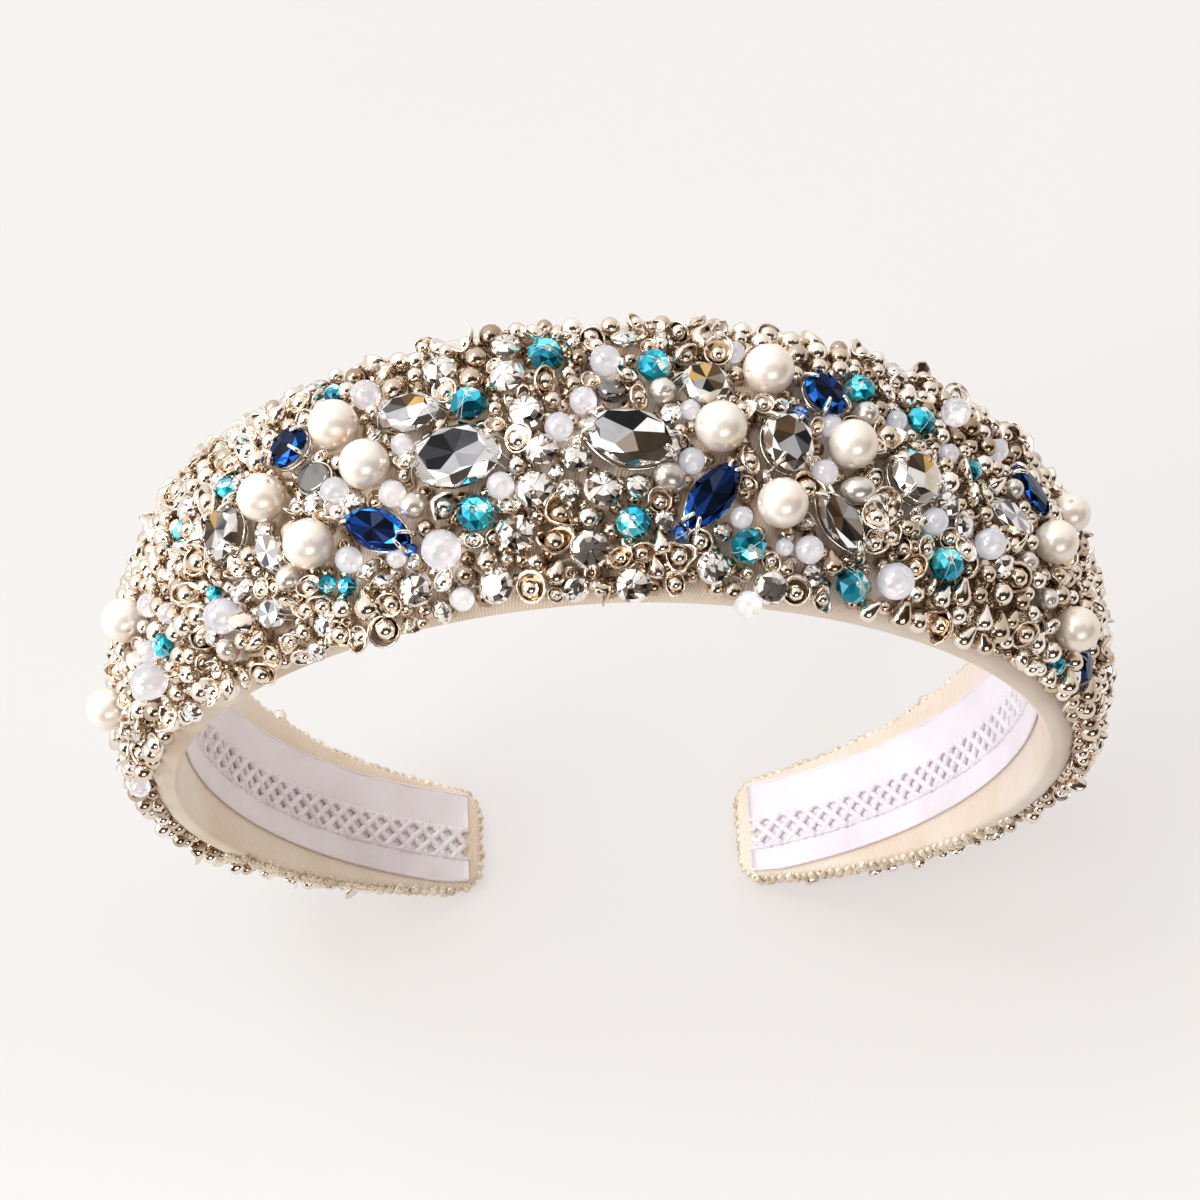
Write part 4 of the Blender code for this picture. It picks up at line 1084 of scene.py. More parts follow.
def make_cut_stones():
    pale = FOILS["clear"]
    for k, (name, s, y, long, short, turn, kind, held, foil) in enumerate(CUT_STONES):
        rng = np.random.default_rng(100 + k)
        if kind == "disc":
            tall = 2.0
            disc = lathe(((0.0, 1.0), (0.40, 1.0), (0.46, 0.93), (0.50, 0.55), (0.46, 0.1), (0.0, 0.0)), 28)
            shape = disc.moved((long, short, tall))
            shape.colours = [(0.235, 0.225, 0.215)] * len(shape.faces)
            bezel = tube([(long * 0.5 * math.cos(a), short * 0.5 * math.sin(a), tall * 0.62) for a in np.linspace(0, 2 * math.pi, 33)[:-1]], 0.16, 6, closed=True)
            shape = shape + bezel.slotted(1)
        else:
            tall = stone_height(short)
            if foil == "blue":
                tones = [FOILS["blue"][i] for i in rng.permutation(len(FOILS["blue"]))] + [FOILS["blue"][0], FOILS["blue"][1]]
                shape = cut_stone(kind, long, short, tall, tones, FOILS["blue"][:5], FOILS["blue edge"], rng, 0.74)
            else:
                tones = FACETS[name]
                shape = cut_stone(kind, long, short, tall, tones, tones + (L, W, G), pale, rng, 0.80 if kind == "navette" else 0.74)
            if not held:
                shape = shape + end_stitches(kind, long, short, tall, rng).slotted(2)
        base, axes = seat(s, y, SEAT + (TRAY if held else 0.0), turn)
        keep(single("cut_" + name, shape, base, axes, [FOIL, BRIGHT, THREAD]), "blue_stones" if foil == "blue" else "crystals", name)
        if held:
            base, axes = seat(s, y, SEAT + 0.35, turn)
            metal = make_settings_shape(kind, long, short, tall + TRAY - 0.35)
            keep(single("claws_" + name, metal, base, axes, [BRIGHT], 0.6), "settings", "setting_" + name)


# ------------------------------------------------------------------ pearls, rondelles and threads
def drilled_ball(sides, rings, hole=0.05):
    """A ball of width 1 with a small drilled hole through its poles' top and bottom."""
    profile = [(0.0, 0.40), (hole * 0.9, 0.41), (hole, 0.485)]
    start = math.asin(min(1.0, (hole + 0.02) * 2))
    for a in np.linspace(start, math.pi - start, rings):
        profile.append((0.5 * math.sin(a), 0.5 * math.cos(a)))
    profile += [(hole, -0.485), (0.0, -0.41)]
    return lathe(profile, sides)


def make_pearls():
    shape = drilled_ball(36, 22, 0.045)
    rng = np.random.default_rng(5)
    for name, s, y, size in PEARLS:
        base, axes = seat(s, y, SEAT + size / 2)
        point, along, out = arc_at(s)
        side = frames(axes[:, 0], axes[:, 2], rng.uniform(0, 6), math.radians(rng.uniform(65, 95)), rng.uniform(0, 6))
        keep(single("ivory_" + name, shape.moved((size, size, size)), base, side, [PEARL]), "pearls", name)


def rondelle_shape(rng, foil="teal"):
    """A faceted glass bead of width 1 with a hole through it: two bands of facets over a broad middle."""
    m = 8
    verts, faces, colours = [], [], []
    tones = np.array(FOILS[foil])
    rings = []
    for shift, scale, z in ((0.0, 0.09, 0.24), (0.0, 0.13, 0.34), (0.5, 0.33, 0.31), (0.0, 0.49, 0.10), (0.5, 0.50, -0.08), (0.0, 0.34, -0.31), (0.5, 0.12, -0.34)):
        ring = []
        for k in range(m):
            a = 2 * math.pi * (k + shift) / m
            ring.append(len(verts))
            verts.append((scale * math.cos(a), scale * math.sin(a), z))
        rings.append((ring, shift))
    lit = rng.uniform(0, 2 * math.pi)

    def tone(t, i):
        """Painted light and shade: deep colour on one side, as if the light came in there, and light tones where it
        would leave; the side is chosen at random for each bead.
        """
        x, y, z = np.mean([verts[v] for v in t], axis=0)
        side = math.cos(math.atan2(y, x) - lit)
        place = 1.7 - 1.7 * side + rng.uniform(-1.3, 1.3) + (0.8 if i < 2 else 0)
        return tones[(0, 1, 4, 2, 3, 5)[int(np.clip(round(place + 0.6), 0, 5))]] if len(tones) == 6 else tones[int(np.clip(round(place * 0.7), 0, len(tones) - 1))]

    for i, ((a, sa), (b, sb)) in enumerate(zip(rings, rings[1:])):
        for k in range(m):
            n = (k + 1) % m
            if sa == sb:
                some = ([a[k], b[k], b[n], a[n]],)
            elif sa < sb:
                some = ([a[k], b[k], a[n]], [a[n], b[k], b[n]])
            else:
                some = ([a[k], b[k], b[n]], [a[k], b[n], a[n]])
            for f in some:
                faces.append(f)
                colours.append(tone(f, i))
    # The hole ends take the lightest tone, dimmed a little: a painted highlight.
    for ring, z, flip in ((rings[0][0], 0.20, False), (rings[-1][0], -0.30, True)):
        mid = len(verts)
        verts.append((0, 0, z))
        for k in range(m):
            f = [mid, ring[k], ring[(k + 1) % m]]
            faces.append(f[::-1] if flip else f)
            colours.append(tones[-1] * 0.8)
    return Shape(verts, faces, [0] * len(faces), False, colours)


def strands(width, height, turn, count, rng, radius=0.07):
    """Thread strands that cross a bead from side to side over its top, of that width and height."""
    parts = None
    for k in range(count):
        a = turn + rng.uniform(-0.35, 0.35) + k * rng.uniform(0.15, 0.5)
        off = rng.uniform(-0.12, 0.12) * width
        t = np.linspace(-1, 1, 9)
        x = t * width * 0.56
        z = height * (1 - np.abs(t) ** 2.2) - 0.25 * height * np.abs(t) ** 6
        line = np.stack([x * math.cos(a) - off * math.sin(a), x * math.sin(a) + off * math.cos(a), z + radius], -1)
        part = tube(line, radius, 5)
        parts = part if parts is None else parts + part
    return parts


def make_rondelles():
    for k, (name, s, y, size) in enumerate(RONDELLES):
        rng = np.random.default_rng(40 + k)
        base, axes = seat(s, y, SEAT + 0.36 * size)
        tilt = frames(axes[:, 0], axes[:, 2], rng.uniform(0, 6), math.radians(rng.uniform(8, 30)), rng.uniform(0, 6))
        shape = rondelle_shape(rng).moved((size, size, size))
        shape = shape + strands(size, 0.40 * size, rng.uniform(0, 3), int(rng.integers(1, 3)), rng, 0.05).slotted(2)
        keep(single("faceted_" + name, shape, base, tilt, [TEAL, FOIL, THREAD]), "rondelles", name)


def route_between(beads):
    points = []
    for (s0, y0, _), (s1, y1, _) in zip(beads, beads[1:]):
        n = max(3, int(math.hypot(s1 - s0, y1 - y0) / 1.0))
        for i in range(n):
            f = i / n
            points.append(seat(s0 + (s1 - s0) * f, y0 + (y1 - y0) * f, 1.3)[0])
    points.append(seat(beads[-1][0], beads[-1][1], 1.3)[0])
    return np.array(points)


def opal_ball(rng, size):
    shape = drilled_ball(20, 12, 0.06).moved((size, size, size))
    return shape + strands(size, 0.5 * size, rng.uniform(0, 3), 1, rng, 0.05).slotted(1)


def make_threads():
    for k, (name, beads) in enumerate(THREADS):
        batches = []
        chatons = name.startswith("chaton")
        for i, (s, y, size) in enumerate(beads):
            if not size:
                continue
            rng = np.random.default_rng(200 + 10 * k + i)
            if chatons:
                base, axes = seat(s, y, THREAD_HEIGHT - 0.1 * size)
                tilt = frames(axes[:, 0], axes[:, 2], rng.uniform(0, 6), math.radians(rng.uniform(4, 16)), rng.uniform(0, 6))
                shape = brilliant(rng).moved((size, size, size * 0.95))
            else:
                base, axes = seat(s, y, THREAD_HEIGHT)
                tilt = frames(axes[:, 0], axes[:, 2], rng.uniform(0, 6), math.radians(rng.uniform(20, 60)), rng.uniform(0, 6))
                shape = opal_ball(rng, size)
            batches.append((shape, base[None], tilt[None], np.array([1.0]), np.array([rng.uniform(0.2, 0.9)])))
        if len(beads) > 1:
            line = tube(route_between(beads), 0.13, 5).slotted(3 if chatons else 1)
            batches.append((line, np.zeros((1, 3)), np.eye(3)[None], np.array([1.0]), np.array([0.5])))
        mats = [CLEAR, LINING, BRIGHT, THREAD] if chatons else [OPAL, THREAD]
        new = name.replace("chaton", "rhinestones").replace("opal", "opals")
        keep(stamp(new, batches, mats), "chatons" if chatons else "opals", name)


def make_small_beads():
    """The smaller beads that stand out: opals, teal rondelles, grey pearls, blue beads and rhinestones."""
    groups = {}
    for k, (kind, s, y, size) in enumerate(SMALL):
        rng = np.random.default_rng(500 + k)
        height = max(2.1, 1.0 + size / 2)
        base, axes = seat(s, y, height)
        base[1] = np.clip(base[1], NEAREST + 0.52 * size, FARTHEST - 0.52 * size)
        lean = math.radians(rng.uniform(20, 70) if kind in ("opal", "blue", "grey") else rng.uniform(5, 28))
        tilt = frames(axes[:, 0], axes[:, 2], rng.uniform(0, 6), lean, rng.uniform(0, 6))
        if kind == "opal":
            shape = opal_ball(rng, size)
        elif kind == "teal":
            shape = rondelle_shape(rng).moved((size, size, size)) + strands(size, 0.40 * size, rng.uniform(0, 3), 1, rng, 0.05).slotted(2)
        elif kind == "blue":
            shape = rondelle_shape(rng, "bead blue").moved((size, size, size * 1.1)) + strands(size, 0.42 * size, rng.uniform(0, 3), 1, rng, 0.06).slotted(2)
        elif kind == "grey":
            shape = drilled_ball(24, 14, 0.05).moved((size * 0.92, size * 0.92, size * rng.uniform(1.0, 1.16)))
        elif kind == "slate":
            shape = lathe(((0.0, 0.26), (0.42, 0.26), (0.48, 0.22), (0.5, 0.0), (0.44, -0.2), (0.0, -0.2)), 24).moved((size, size, size))
            shape.colours = [(0.25, 0.24, 0.235)] * len(shape.faces)
        else:
            shape = brilliant(rng).moved((size, size, size * 0.95))
        groups.setdefault(kind, []).append((shape, base[None], tilt[None], np.array([1.0]), np.array([rng.uniform(0.2, 0.9)])))
    looks = {
        "opal": ("opal_beads_single", [OPAL, THREAD], "opals"), "teal": ("teal_beads_single", [TEAL, FOIL, THREAD], "rondelles"),
        "blue": ("blue_beads_single", [TEAL, FOIL, THREAD], "blue_stones"), "grey": ("grey_pearls_single", [GREY_PEARL], "pearls"),
        "slate": ("slate_disc_single", [FOIL], "crystals"), "stone": ("rhinestones_single", [CLEAR, LINING, BRIGHT], "chatons"),
    }
    for kind, (title, mats, slot) in looks.items():
        keep(stamp(title, groups[kind], mats), slot)


# ------------------------------------------------------------------ seed beads
def ball_shape(sides=10, rings=6):
    return lathe([(0.0, 0.5)] + [(0.5 * math.sin(a), 0.5 * math.cos(a)) for a in np.linspace(0, math.pi, rings + 2)[1:-1]] + [(0.0, -0.5)], sides)


def seed_shape(sides=11):
    """A round seed bead with a thread hole."""
    return lathe(((0.0, 0.24), (0.12, 0.27), (0.155, 0.40), (0.27, 0.45), (0.42, 0.30), (0.5, 0.0), (0.42, -0.30), (0.2, -0.45), (0.0, -0.45)), sides)


def cup_shape(lobes=0, sides=14, deep=0.12, curl=0.09, ball=0.50, at=0.02):
    """A small metal cup with a curled lip, higher on some sides, and often a ball held in it."""
    wave = (lambda k, a: deep * math.cos(lobes * a) if 2 <= k <= 6 else 0.0) if lobes else None
    cup = lathe(((0.0, -0.18), (0.22, -0.145), (0.375, 0.03), (0.44, 0.195), (0.48, 0.235), (0.515, 0.195), (0.475, 0.06), (0.34, -0.13), (0.15, -0.26), (0.0, -0.27)), sides, wave)
    if lobes:
        angle = np.arctan2(cup.v[:, 1], cup.v[:, 0])
        cup.v[:, 2] += curl * np.cos(lobes * angle) * np.clip(np.hypot(cup.v[:, 0], cup.v[:, 1]) / 0.45, 0, 1) ** 2
    return cup + ball_shape(8, 5).moved((ball, ball, ball), (0.0, 0.0, at)) if ball else cup


def ring_shape(sides=13, around=6):
    points = [(0.35 * math.cos(a), 0.35 * math.sin(a), 0) for a in np.arange(sides) * 2 * math.pi / sides]
    return tube(points, 0.15, around, closed=True)


def drop_shape(sides=11):
    """A smooth metal drop: a short neck that swells to a round, heavy end."""
    return lathe(((0.0, 0.44), (0.10, 0.42), (0.155, 0.32), (0.24, 0.17), (0.35, 0.01), (0.415, -0.15), (0.42, -0.30),
                  (0.34, -0.45), (0.18, -0.54), (0.0, -0.57)), sides)


def stone_circles(layer):
    """The ground that the larger stones take at the height of a layer of beads, as circles (arc position, offset across,
    radius). The first layer reaches in under round beads and under the slope of a cut stone."""
    ball, bead, cut, tray = ((0.58, 0.45, 0.80, 0.95), (0.97, 0.95, 1.0, 1.05))[layer]
    rows = [(s, y, size / 2 * ball) for _, s, y, size in PEARLS] + [(s, y, size / 2 * ball) for _, s, y, size in RONDELLES]
    for name, s, y, long, short, turn, kind, held, _ in CUT_STONES:
        a = math.radians(turn)
        k = tray if held else cut
        reach = (long - short) / 2
        for t in np.linspace(-1, 1, 7) if reach > 0.3 else (0.0,):
            r = short / 2 * (1 - (0.45 if kind == "navette" else 0.12) * t * t) * k
            rows.append((s + t * reach * math.cos(a), y + t * reach * math.sin(a), r))
    for name, beads in THREADS:
        rows += [(s, y, size / 2 * bead) for s, y, size in beads if size]
    rows += [(s, y, size / 2 * (0.6, 0.96)[layer]) for _, s, y, size in SMALL]
    return np.array(rows)


def front_limit(s):
    """How far round the front rim the beads go: over it at the crown and left, short of it on the right."""
    c, w = satin_middle(s)
    past = np.interp(s, (-170, -110, -60, -20, -6, 22, 70, 120, 175), (-0.6, 0.1, 0.9, 1.1, 0.6, 0.3, 0.0, -0.4, -0.6))
    return -(RIM_AT * w + past)


def back_limit(s):
    c, w = satin_middle(s)
    return RIM_AT * w + np.interp(np.abs(s), (0, 60, 100, 130, 175), (2.2, 2.4, 2.6, 1.2, 0.8))


CELL = 0.2
NEAREST, FARTHEST = CAD_BOX[0][1] * 1000 - SHIFT[1] - 1.1, CAD_BOX[1][1] * 1000 - SHIFT[1] + 1.1  # how far beads reach across


class Ground:
    """A map of the skin's free room: for each cell, the distance to the nearest thing placed on it."""

    def __init__(self, stop, taken):
        self.s = np.arange(-stop, stop + CELL, CELL)
        self.q = np.arange(-25.0, 25.0 + CELL, CELL)
        self.free = np.full((len(self.s), len(self.q)), 9.0, np.float32)
        self.open = (self.q[None] >= front_limit(self.s)[:, None]) & (self.q[None] <= back_limit(self.s)[:, None])
        centre = satin_middle(self.s)[0]
        for s, y, r in taken:
            self.block(s, y - float(np.interp(s, self.s, centre)), r)

    def block(self, s, q, r, reach=3.4):
        i0, i1 = np.searchsorted(self.s, (s - r - reach, s + r + reach))
        j0, j1 = np.searchsorted(self.q, (q - r - reach, q + r + reach))
        d = np.hypot(self.s[i0:i1, None] - s, self.q[None, j0:j1] - q) - r
        self.free[i0:i1, j0:j1] = np.minimum(self.free[i0:i1, j0:j1], d)

    def place(self, rng, i0, i1, r, gap, side):
        """A spot for a bead of radius r between these rows, in the free corner nearest to one rim, or None."""
        free = self.free[i0:i1]
        spots = np.flatnonzero((free >= r * gap) & self.open[i0:i1])
        if not len(spots):
            return None
        i, j = np.divmod(spots, free.shape[1])
        order = side * self.q[j] + 0.12 * self.s[i0 + i] + rng.uniform(0, 0.5, len(spots))
        best = int(np.argmin(order))
        s, q = float(self.s[i0 + i[best]]), float(self.q[j[best]])
        s, q = s + rng.uniform(-0.1, 0.1), q + rng.uniform(-0.1, 0.1)
        self.block(s, q, r)
        return s, q, r


def pack_beads(rng, ground, scale, passes, strip=6.4):
    """Lays beads side by side from rim to rim, strip after strip, and then smaller ones between them.
    passes: rows of (low radius, high radius, share), how closely they press together, most per 100 mm2."""
    found = []
    rows = int(strip / CELL)
    starts = list(range(0, len(ground.s) - 1, rows))
    for sizes, gap, most in passes:
        shares = np.array([share for _, _, share in sizes])
        for number, i0 in enumerate(starts):
            i1 = min(i0 + rows, len(ground.s))
            f = float(scale(ground.s[(i0 + i1 - 1) // 2]))
            width = float(ground.open[i0:i1].sum()) * CELL * CELL / 100
            left, misses = most * width, 0
            while left > 0 and misses < 6:
                low_r, high_r, _ = sizes[int(rng.choice(len(sizes), p=shares / shares.sum()))]
                spot = ground.place(rng, i0, i1, rng.uniform(low_r, high_r) * f, gap, 1 if number % 2 else -1)
                if spot is None:
                    misses += 1
                    continue
                found.append(spot)
                left -= f * f
    return np.array(found).T


def zone(s, q):
    """Which mixture of beads lies here: 0 crown, 1 front right with hanging drops, 2 sides, 3 back rows."""
    c, w = satin_middle(s)
    kind = np.zeros(len(s), int)
    kind[np.abs(s + 5) > 52] = 2
    kind[(q > 0.55 * w) & (np.abs(s) > 12)] = 3
    kind[(s > 34) & (np.abs(s) < 84) & (q < 0.55 * w)] = 2
    kind[(s > 19) & (s < 84) & (q < front_limit(s) + 4.6)] = 1
    return kind


MIX = (  # shares of ball, seed, cup, lobed cup, ring, drop, clear
    (0.22, 0.02, 0.29, 0.37, 0.01, 0.02, 0.07),
    (0.16, 0.01, 0.12, 0.13, 0.01, 0.54, 0.03),
    (0.50, 0.05, 0.22, 0.15, 0.02, 0.02, 0.04),
    (0.48, 0.05, 0.20, 0.18, 0.02, 0.01, 0.06),
)
ORDER = ("ball", "seed", "cup", "lobed", "ring", "drop", "clear", "low")


def make_seed_beads():
    rng = np.random.default_rng(77)

    def scale(s):
        return np.interp(np.abs(s), (0, 45, 75, 120, 165, 183), (1.0, 1.0, 0.98, 0.92, 0.80, 0.64))

    groups = {name: [] for name in ORDER}

    # A low, close layer of small balls and seeds that hides the satin.
    ground = Ground(183.0, stone_circles(0))
    s, q, r = pack_beads(rng, ground, scale, ((((1.15, 1.45, 0.70), (0.90, 1.15, 0.30)), 0.86, 99),))
    lift = r * rng.uniform(0.35, 0.70, len(s)) + 0.03
    points, along, normal = skin(s, q, lift)
    points[:, 1] = np.clip(points[:, 1], NEAREST + 1.1 * r, FARTHEST - 1.1 * r)
    ok = points[:, 2] - r > FLOOR_Z + 0.2
    n = len(s)
    axes = frames(along, normal, rng.uniform(0, 6.28, n), np.abs(rng.normal(0, 0.7, n)), rng.uniform(0, 6.28, n))
    # The low layer takes only the darker tones (the lower 60 per cent of the range): painted shade for the gaps between
    # the larger beads.
    tint = rng.random(n) * 0.6
    which = rng.random(n) < 0.88
    for name, pick, k in (("low", ok & which, 1.0), ("seed", ok & ~which, 1.04)):
        groups[name].append((points[pick], axes[pick], 2 * r[pick] * k, tint[pick]))

    # The larger beads lie on it side by side.
    upper = Ground(178.5, stone_circles(1))
    s2, q2, r2 = pack_beads(rng, upper, scale, ((((1.50, 1.85, 0.34), (1.28, 1.50, 0.44), (1.05, 1.28, 0.22)), 0.80, 99),
                                                (((0.88, 1.08, 1.0),), 0.80, 2.5)))
    rest = 0.75 * r2
    for i in range(len(s2)):
        near = np.abs(s - s2[i]) < 3.5
        d2 = (s[near] - s2[i]) ** 2 + (q[near] - q2[i]) ** 2
        touch = ((r[near] + r2[i]) * 0.80) ** 2 - d2
        hit = touch > 0
        if hit.any():
            rest[i] = max(rest[i], np.percentile(lift[near][hit] + np.sqrt(touch[hit]), 80))
    limit = np.interp(np.abs(s2), (0, 60, 120, 165, 178), (2.75, 2.45, 2.0, 1.45, 1.0)) + 0.15 * r2
    rest = np.minimum(rest, limit) + rng.uniform(-0.15, 0.35, len(s2)) * scale(s2)
    print("beads below", len(s), "and above", len(s2))

    kind = zone(s2, q2)
    draw = rng.random(len(s2))
    shares = np.cumsum(np.array(MIX), axis=1)
    chosen = (draw[:, None] > shares[kind]).sum(1).clip(0, 6)
    small = r2 < 0.86
    chosen[small & (chosen > 1)] = rng.integers(0, 3, (small & (chosen > 1)).sum())
    large = (r2 > 1.42) & np.isin(chosen, (1, 4))
    chosen[large] = np.where(rng.random(large.sum()) < 0.25, 6, 2)

    points, along, normal = skin(s2, q2, rest)
    clear_of_floor = points[:, 2] - 1.4 * r2 > FLOOR_Z + 0.2
    points[:, 1] = np.clip(points[:, 1], NEAREST + 0.5 + 1.45 * r2, FARTHEST - 0.5 - 1.45 * r2)
    for number, name in enumerate(ORDER[:7]):
        pick = (chosen == number) & clear_of_floor
        n = int(pick.sum())
        if not n:
            continue
        turn, towards = rng.uniform(0, 2 * math.pi, n), rng.uniform(0, 2 * math.pi, n)
        top = {"ball": 3.1, "seed": 1.3, "cup": 1.35, "lobed": 1.35, "ring": 1.2, "drop": 1.5, "clear": 0.9}[name]
        tilt = np.minimum(np.abs(rng.normal(0, 1, n)) * top * 0.6, top)
        if name == "drop":
            towards = math.pi / 2 + rng.normal(0, 0.5, n)  # the neck lies back from the front edge
            tilt = rng.uniform(0.95, 1.75, n)
        axes = frames(along[pick], normal[pick], turn, tilt, towards)
        size = 2 * r2[pick] * {"ball": 0.90, "seed": 1.0, "cup": 1.20, "lobed": 1.26, "ring": 1.05, "drop": 1.16, "clear": 1.10}[name]
        shine = rng.random(n) ** 0.8
        # Cups and lobed cups take only the lighter tones: painted light that lifts the shade inside them.
        if name in ("cup", "lobed"):
            shine = 0.35 + 0.65 * shine
        groups[name].append((points[pick], axes, size, shine))

    def gathered(name):
        rows = groups[name]
        return [np.concatenate([row[k] for row in rows]) for k in range(4)]

    def pieces_of(name, title, shapes, materials, slot, sides=("left", "right")):
        p, a, size, tint = gathered(name)
        for side, half in zip(sides, (p[:, 0] < 0, p[:, 0] >= 0)) if len(sides) == 2 else ((sides[0], np.ones(len(p), bool)),):
            which = np.arange(len(p)) % len(shapes)
            batches = [(shape, p[half & (which == k)], a[half & (which == k)], size[half & (which == k)], tint[half & (which == k)])
                       for k, shape in enumerate(shapes)]
            piece = stamp(f"{title}_{side}" if side else title, batches, materials)
            keep(piece, slot, "bead_pave")
            print(piece.name, sum(len(b[1]) for b in batches), "beads", sum(len(b[1]) * b[0].triangles() for b in batches), "triangles")

    pieces_of("low", "ground_beads", [ball_shape(7, 4)], [SILVER], "silver_beads")
    pieces_of("ball", "silver_balls", [ball_shape(12, 7)], [SILVER], "silver_beads")
    pieces_of("seed", "seed_beads", [seed_shape(9)], [SILVER], "silver_beads")
    pieces_of("cup", "cup_beads", [cup_shape(1, 14, 0.10, 0.15, 0.70, 0.10), cup_shape(1, 14, 0.06, 0.06, 0.66, 0.07), cup_shape(1, 14, 0.12, 0.20, 0.60, 0.03)], [SILVER], "silver_beads")
    pieces_of("lobed", "lobed_cup_beads", [cup_shape(2, 14, 0.18, 0.19, 0.64, 0.06), cup_shape(3, 15, 0.15, 0.17, 0.68, 0.09), cup_shape(2, 14, 0.14, 0.22, 0.56, 0.02), cup_shape(1, 14, 0.13, 0.21, 0.68, 0.08), cup_shape(3, 15, 0.17, 0.15, 0.60, 0.05)], [SILVER], "silver_beads")
    pieces_of("ring", "ring_beads", [ring_shape()], [SILVER], "silver_beads")
    pieces_of("drop", "drop_beads", [drop_shape()], [SILVER], "silver_beads")
    kinds = [brilliant(np.random.default_rng(300 + k)) for k in range(9)]
    pieces_of("clear", "silver_lined_beads", kinds, [CLEAR, LINING, BRIGHT], "silver_beads")


def make_binding():
    """Rows of small tan beads that bind the satin's edge round both tips and up both back rims."""
    rng = np.random.default_rng(61)
    left = TIP_ROUND * (1 - np.sin(np.linspace(0, math.pi / 2, 30)))
    near = np.concatenate([np.linspace(92, HALF_LENGTH - TIP_ROUND, 400), HALF_LENGTH - left[1:]])
    c, w = satin_middle(near)
    gap = HALF_LENGTH - near
    narrow = np.where(gap < TIP_ROUND, TIP_ROUND - np.sqrt(np.maximum(TIP_ROUND**2 - (TIP_ROUND - gap) ** 2, 0)), 0.0)
    end = np.linspace(c[-1] + w[-1] - narrow[-1], c[-1] - w[-1] + narrow[-1], 60)[1:-1]
    front = near > 128
    path = np.concatenate([np.stack([near, c + w - narrow], 1), np.stack([0 * end + HALF_LENGTH, end], 1),
                           np.stack([near, c - w + narrow], 1)[front][::-1]])
    run = np.concatenate([[0], np.cumsum(np.hypot(*np.diff(path, axis=0).T))])
    places, sizes = [], []
    for side in (-1, 1):
        for height, shift in ((1.15, 0.0), (2.55, 0.75)):
            at = shift
            while at < run[-1]:
                s, y = np.interp(at, run, path[:, 0]), np.interp(at, run, path[:, 1])
                s1, y1 = np.interp(at + 0.2, run, path[:, 0]), np.interp(at + 0.2, run, path[:, 1])
                way = np.array([s1 - s, y1 - y]) / (math.hypot(s1 - s, y1 - y) + 1e-9)
                size = rng.uniform(1.45, 2.25) * np.interp(s, (92, 150, 188), (1.1, 1.0, 0.92))
                if rng.random() > min(at, run[-1] - at) / 14:
                    at += size
                    continue
                off = -0.05 * size + rng.uniform(-0.15, 0.12)
                point, along, out = arc_at(side * min(s - way[1] * off, HALF_LENGTH + 0.4))
                places.append(point + Y * (y + way[0] * off) + out * (height + rng.uniform(-0.15, 0.15)))
                sizes.append(size)
                at += size * rng.uniform(0.86, 1.02)
    places, sizes = np.array(places), np.array(sizes)
    ok = places[:, 2] - sizes / 2 > FLOOR_Z + 0.05
    places, sizes = places[ok], sizes[ok]
    n = len(places)
    axes = frames(np.tile([1.0, 0.0, 0.0], (n, 1)), np.tile([0.0, 0.0, 1.0], (n, 1)), rng.uniform(0, 6, n), rng.uniform(0, 3, n), rng.uniform(0, 6, n))
    half = np.arange(n) % 2 == 0
    piece = stamp("edge_beads", [(ball_shape(9, 5), places[half], axes[half], sizes[half], rng.random(half.sum())),
                                 (seed_shape(8), places[~half], axes[~half], sizes[~half] * 1.05, rng.random((~half).sum()))], [TAN])
    print("edge beads", n)
    keep(piece, "silver_beads", "bead_pave")


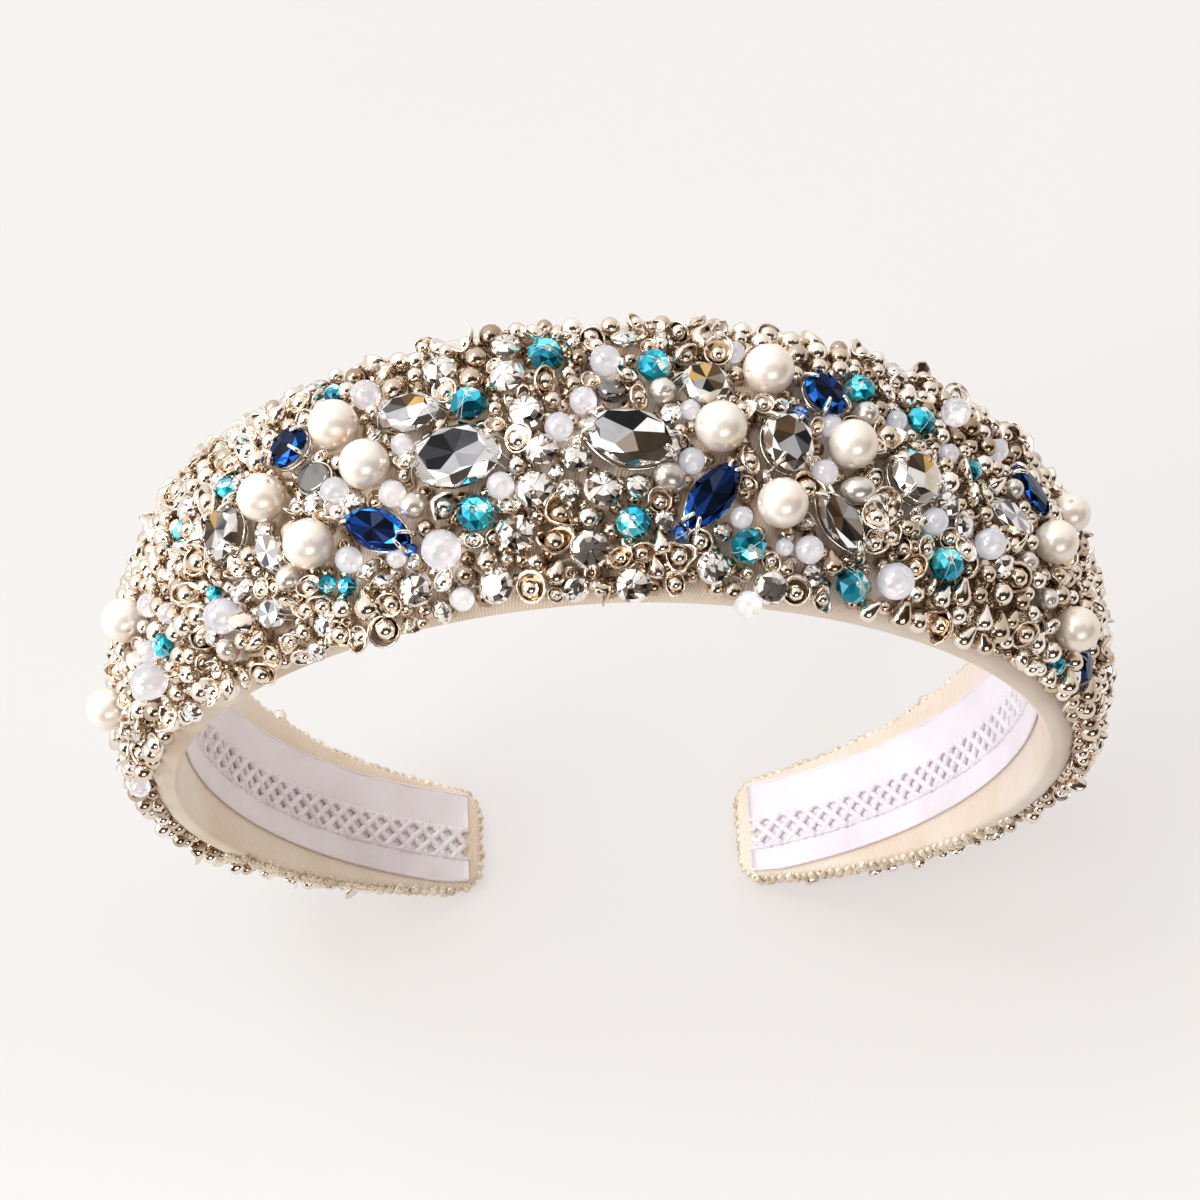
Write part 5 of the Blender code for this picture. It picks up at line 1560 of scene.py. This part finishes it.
# ------------------------------------------------------------------ camera, floor and light
def make_stage():
    size = 6.0
    mesh = bpy.data.meshes.new("floor")
    mesh.from_pydata([(-size, -size, 0), (size, -size, 0), (size, size, 0), (-size, size, 0)], [], [(0, 1, 2, 3)])
    mesh.materials.append(floor_material())
    floor = bpy.data.objects.new("floor", mesh)
    bpy.context.scene.collection.objects.link(floor)

    az, el, roll = math.radians(-1.9), math.radians(63.7), math.radians(-0.3)
    away, focal, tx, ty = 366.9, 2399.8, 1.5, -9.5
    centre = np.array([0, 0, -60.0])
    back = np.array([math.sin(az) * math.cos(el), -math.cos(az) * math.cos(el), math.sin(el)])
    right = np.cross([0, 0, 1.0], back)
    right /= np.linalg.norm(right)
    up = np.cross(back, right)
    r = math.cos(roll) * right + math.sin(roll) * up
    u = -math.sin(roll) * right + math.cos(roll) * up
    where = centre - tx * r - ty * u + away * back
    data = bpy.data.cameras.new("camera")
    data.sensor_width = 36.0
    data.lens = focal * 36.0 / 1200.0
    data.clip_start, data.clip_end = 0.01, 50
    camera = bpy.data.objects.new("camera", data)
    bpy.context.scene.collection.objects.link(camera)
    m = Matrix.Identity(4)
    for i in range(3):
        m[i][0], m[i][1], m[i][2] = float(r[i]), float(u[i]), float(back[i])
        m[i][3] = float((where + SHIFT)[i] * MM)
    camera.matrix_world = m
    bpy.context.scene.camera = camera

    def area(name, place, target, width, height, power, colour=(1, 1, 1)):
        light = bpy.data.lights.new(name, "AREA")
        light.shape, light.size, light.size_y = "RECTANGLE", width, height
        light.energy, light.color = power, colour
        obj = bpy.data.objects.new(name, light)
        obj.location = place
        way = Vector(target) - Vector(place)
        obj.rotation_euler = way.to_track_quat("-Z", "Y").to_euler()
        bpy.context.scene.collection.objects.link(obj)
        return obj

    area("key", (-2.35, -0.62, 1.80), (0, 0, 0.06), 1.8, 1.8, 55.0, (1.0, 0.985, 0.965))
    area("fill", (0.55, -2.30, 1.45), (0, 0, 0.08), 1.7, 1.2, 16.0, (1.0, 0.99, 0.975))
    area("top", (-0.95, 0.62, 2.35), (0, 0, 0.08), 0.8, 0.7, 15.0, (1.0, 1.0, 1.0))

    world = bpy.data.worlds.new("studio")
    bpy.context.scene.world = world
    world.use_nodes = True
    nodes, links = world.node_tree.nodes, world.node_tree.links
    nodes.clear()
    out = nodes.new("ShaderNodeOutputWorld")
    background = nodes.new("ShaderNodeBackground")
    coord = nodes.new("ShaderNodeTexCoord")
    dot = nodes.new("ShaderNodeVectorMath")
    dot.operation = "DOT_PRODUCT"
    links.new(coord.outputs["Generated"], dot.inputs[0])
    dot.inputs[1].default_value = (0.30, -0.93, 0.20)
    patches = noise(nodes, links, 2.1, 2.0, coord.outputs["Generated"], 0.5)
    shade = maths(nodes, links, "ADD", dot.outputs["Value"], maths(nodes, links, "MULTIPLY", patches, 1.1))
    room = ramp(nodes, links, shade, ((0.0, (1.0, 0.995, 0.985)), (0.84, (0.95, 0.94, 0.925)), (0.97, (0.16, 0.12, 0.09)), (1.04, (0.06, 0.043, 0.032))))
    across = nodes.new("ShaderNodeSeparateXYZ")
    links.new(coord.outputs["Generated"], across.inputs[0])
    dim = ramp(nodes, links, maths(nodes, links, "ADD", maths(nodes, links, "MULTIPLY", across.outputs["X"], 0.5), 0.5),
               ((0.15, (1.0, 1.0, 1.0)), (0.55, (0.80, 0.795, 0.79)), (0.9, (0.55, 0.54, 0.53))))
    both = nodes.new("ShaderNodeMix")
    both.data_type, both.blend_type = "RGBA", "MULTIPLY"
    both.inputs[0].default_value = 1.0
    links.new(room, both.inputs[6])
    links.new(dim, both.inputs[7])
    links.new(both.outputs[2], background.inputs["Color"])
    background.inputs["Strength"].default_value = 1.5
    links.new(background.outputs["Background"], out.inputs["Surface"])
    bpy.context.scene.view_settings.view_transform = "Standard"
    bpy.context.scene.view_settings.look = "None"


make_stage()
make_satin()
make_ribbon()
make_pearls()
make_rondelles()
make_cut_stones()
make_threads()
make_small_beads()
make_seed_beads()
make_binding()

bpy.context.view_layer.update()
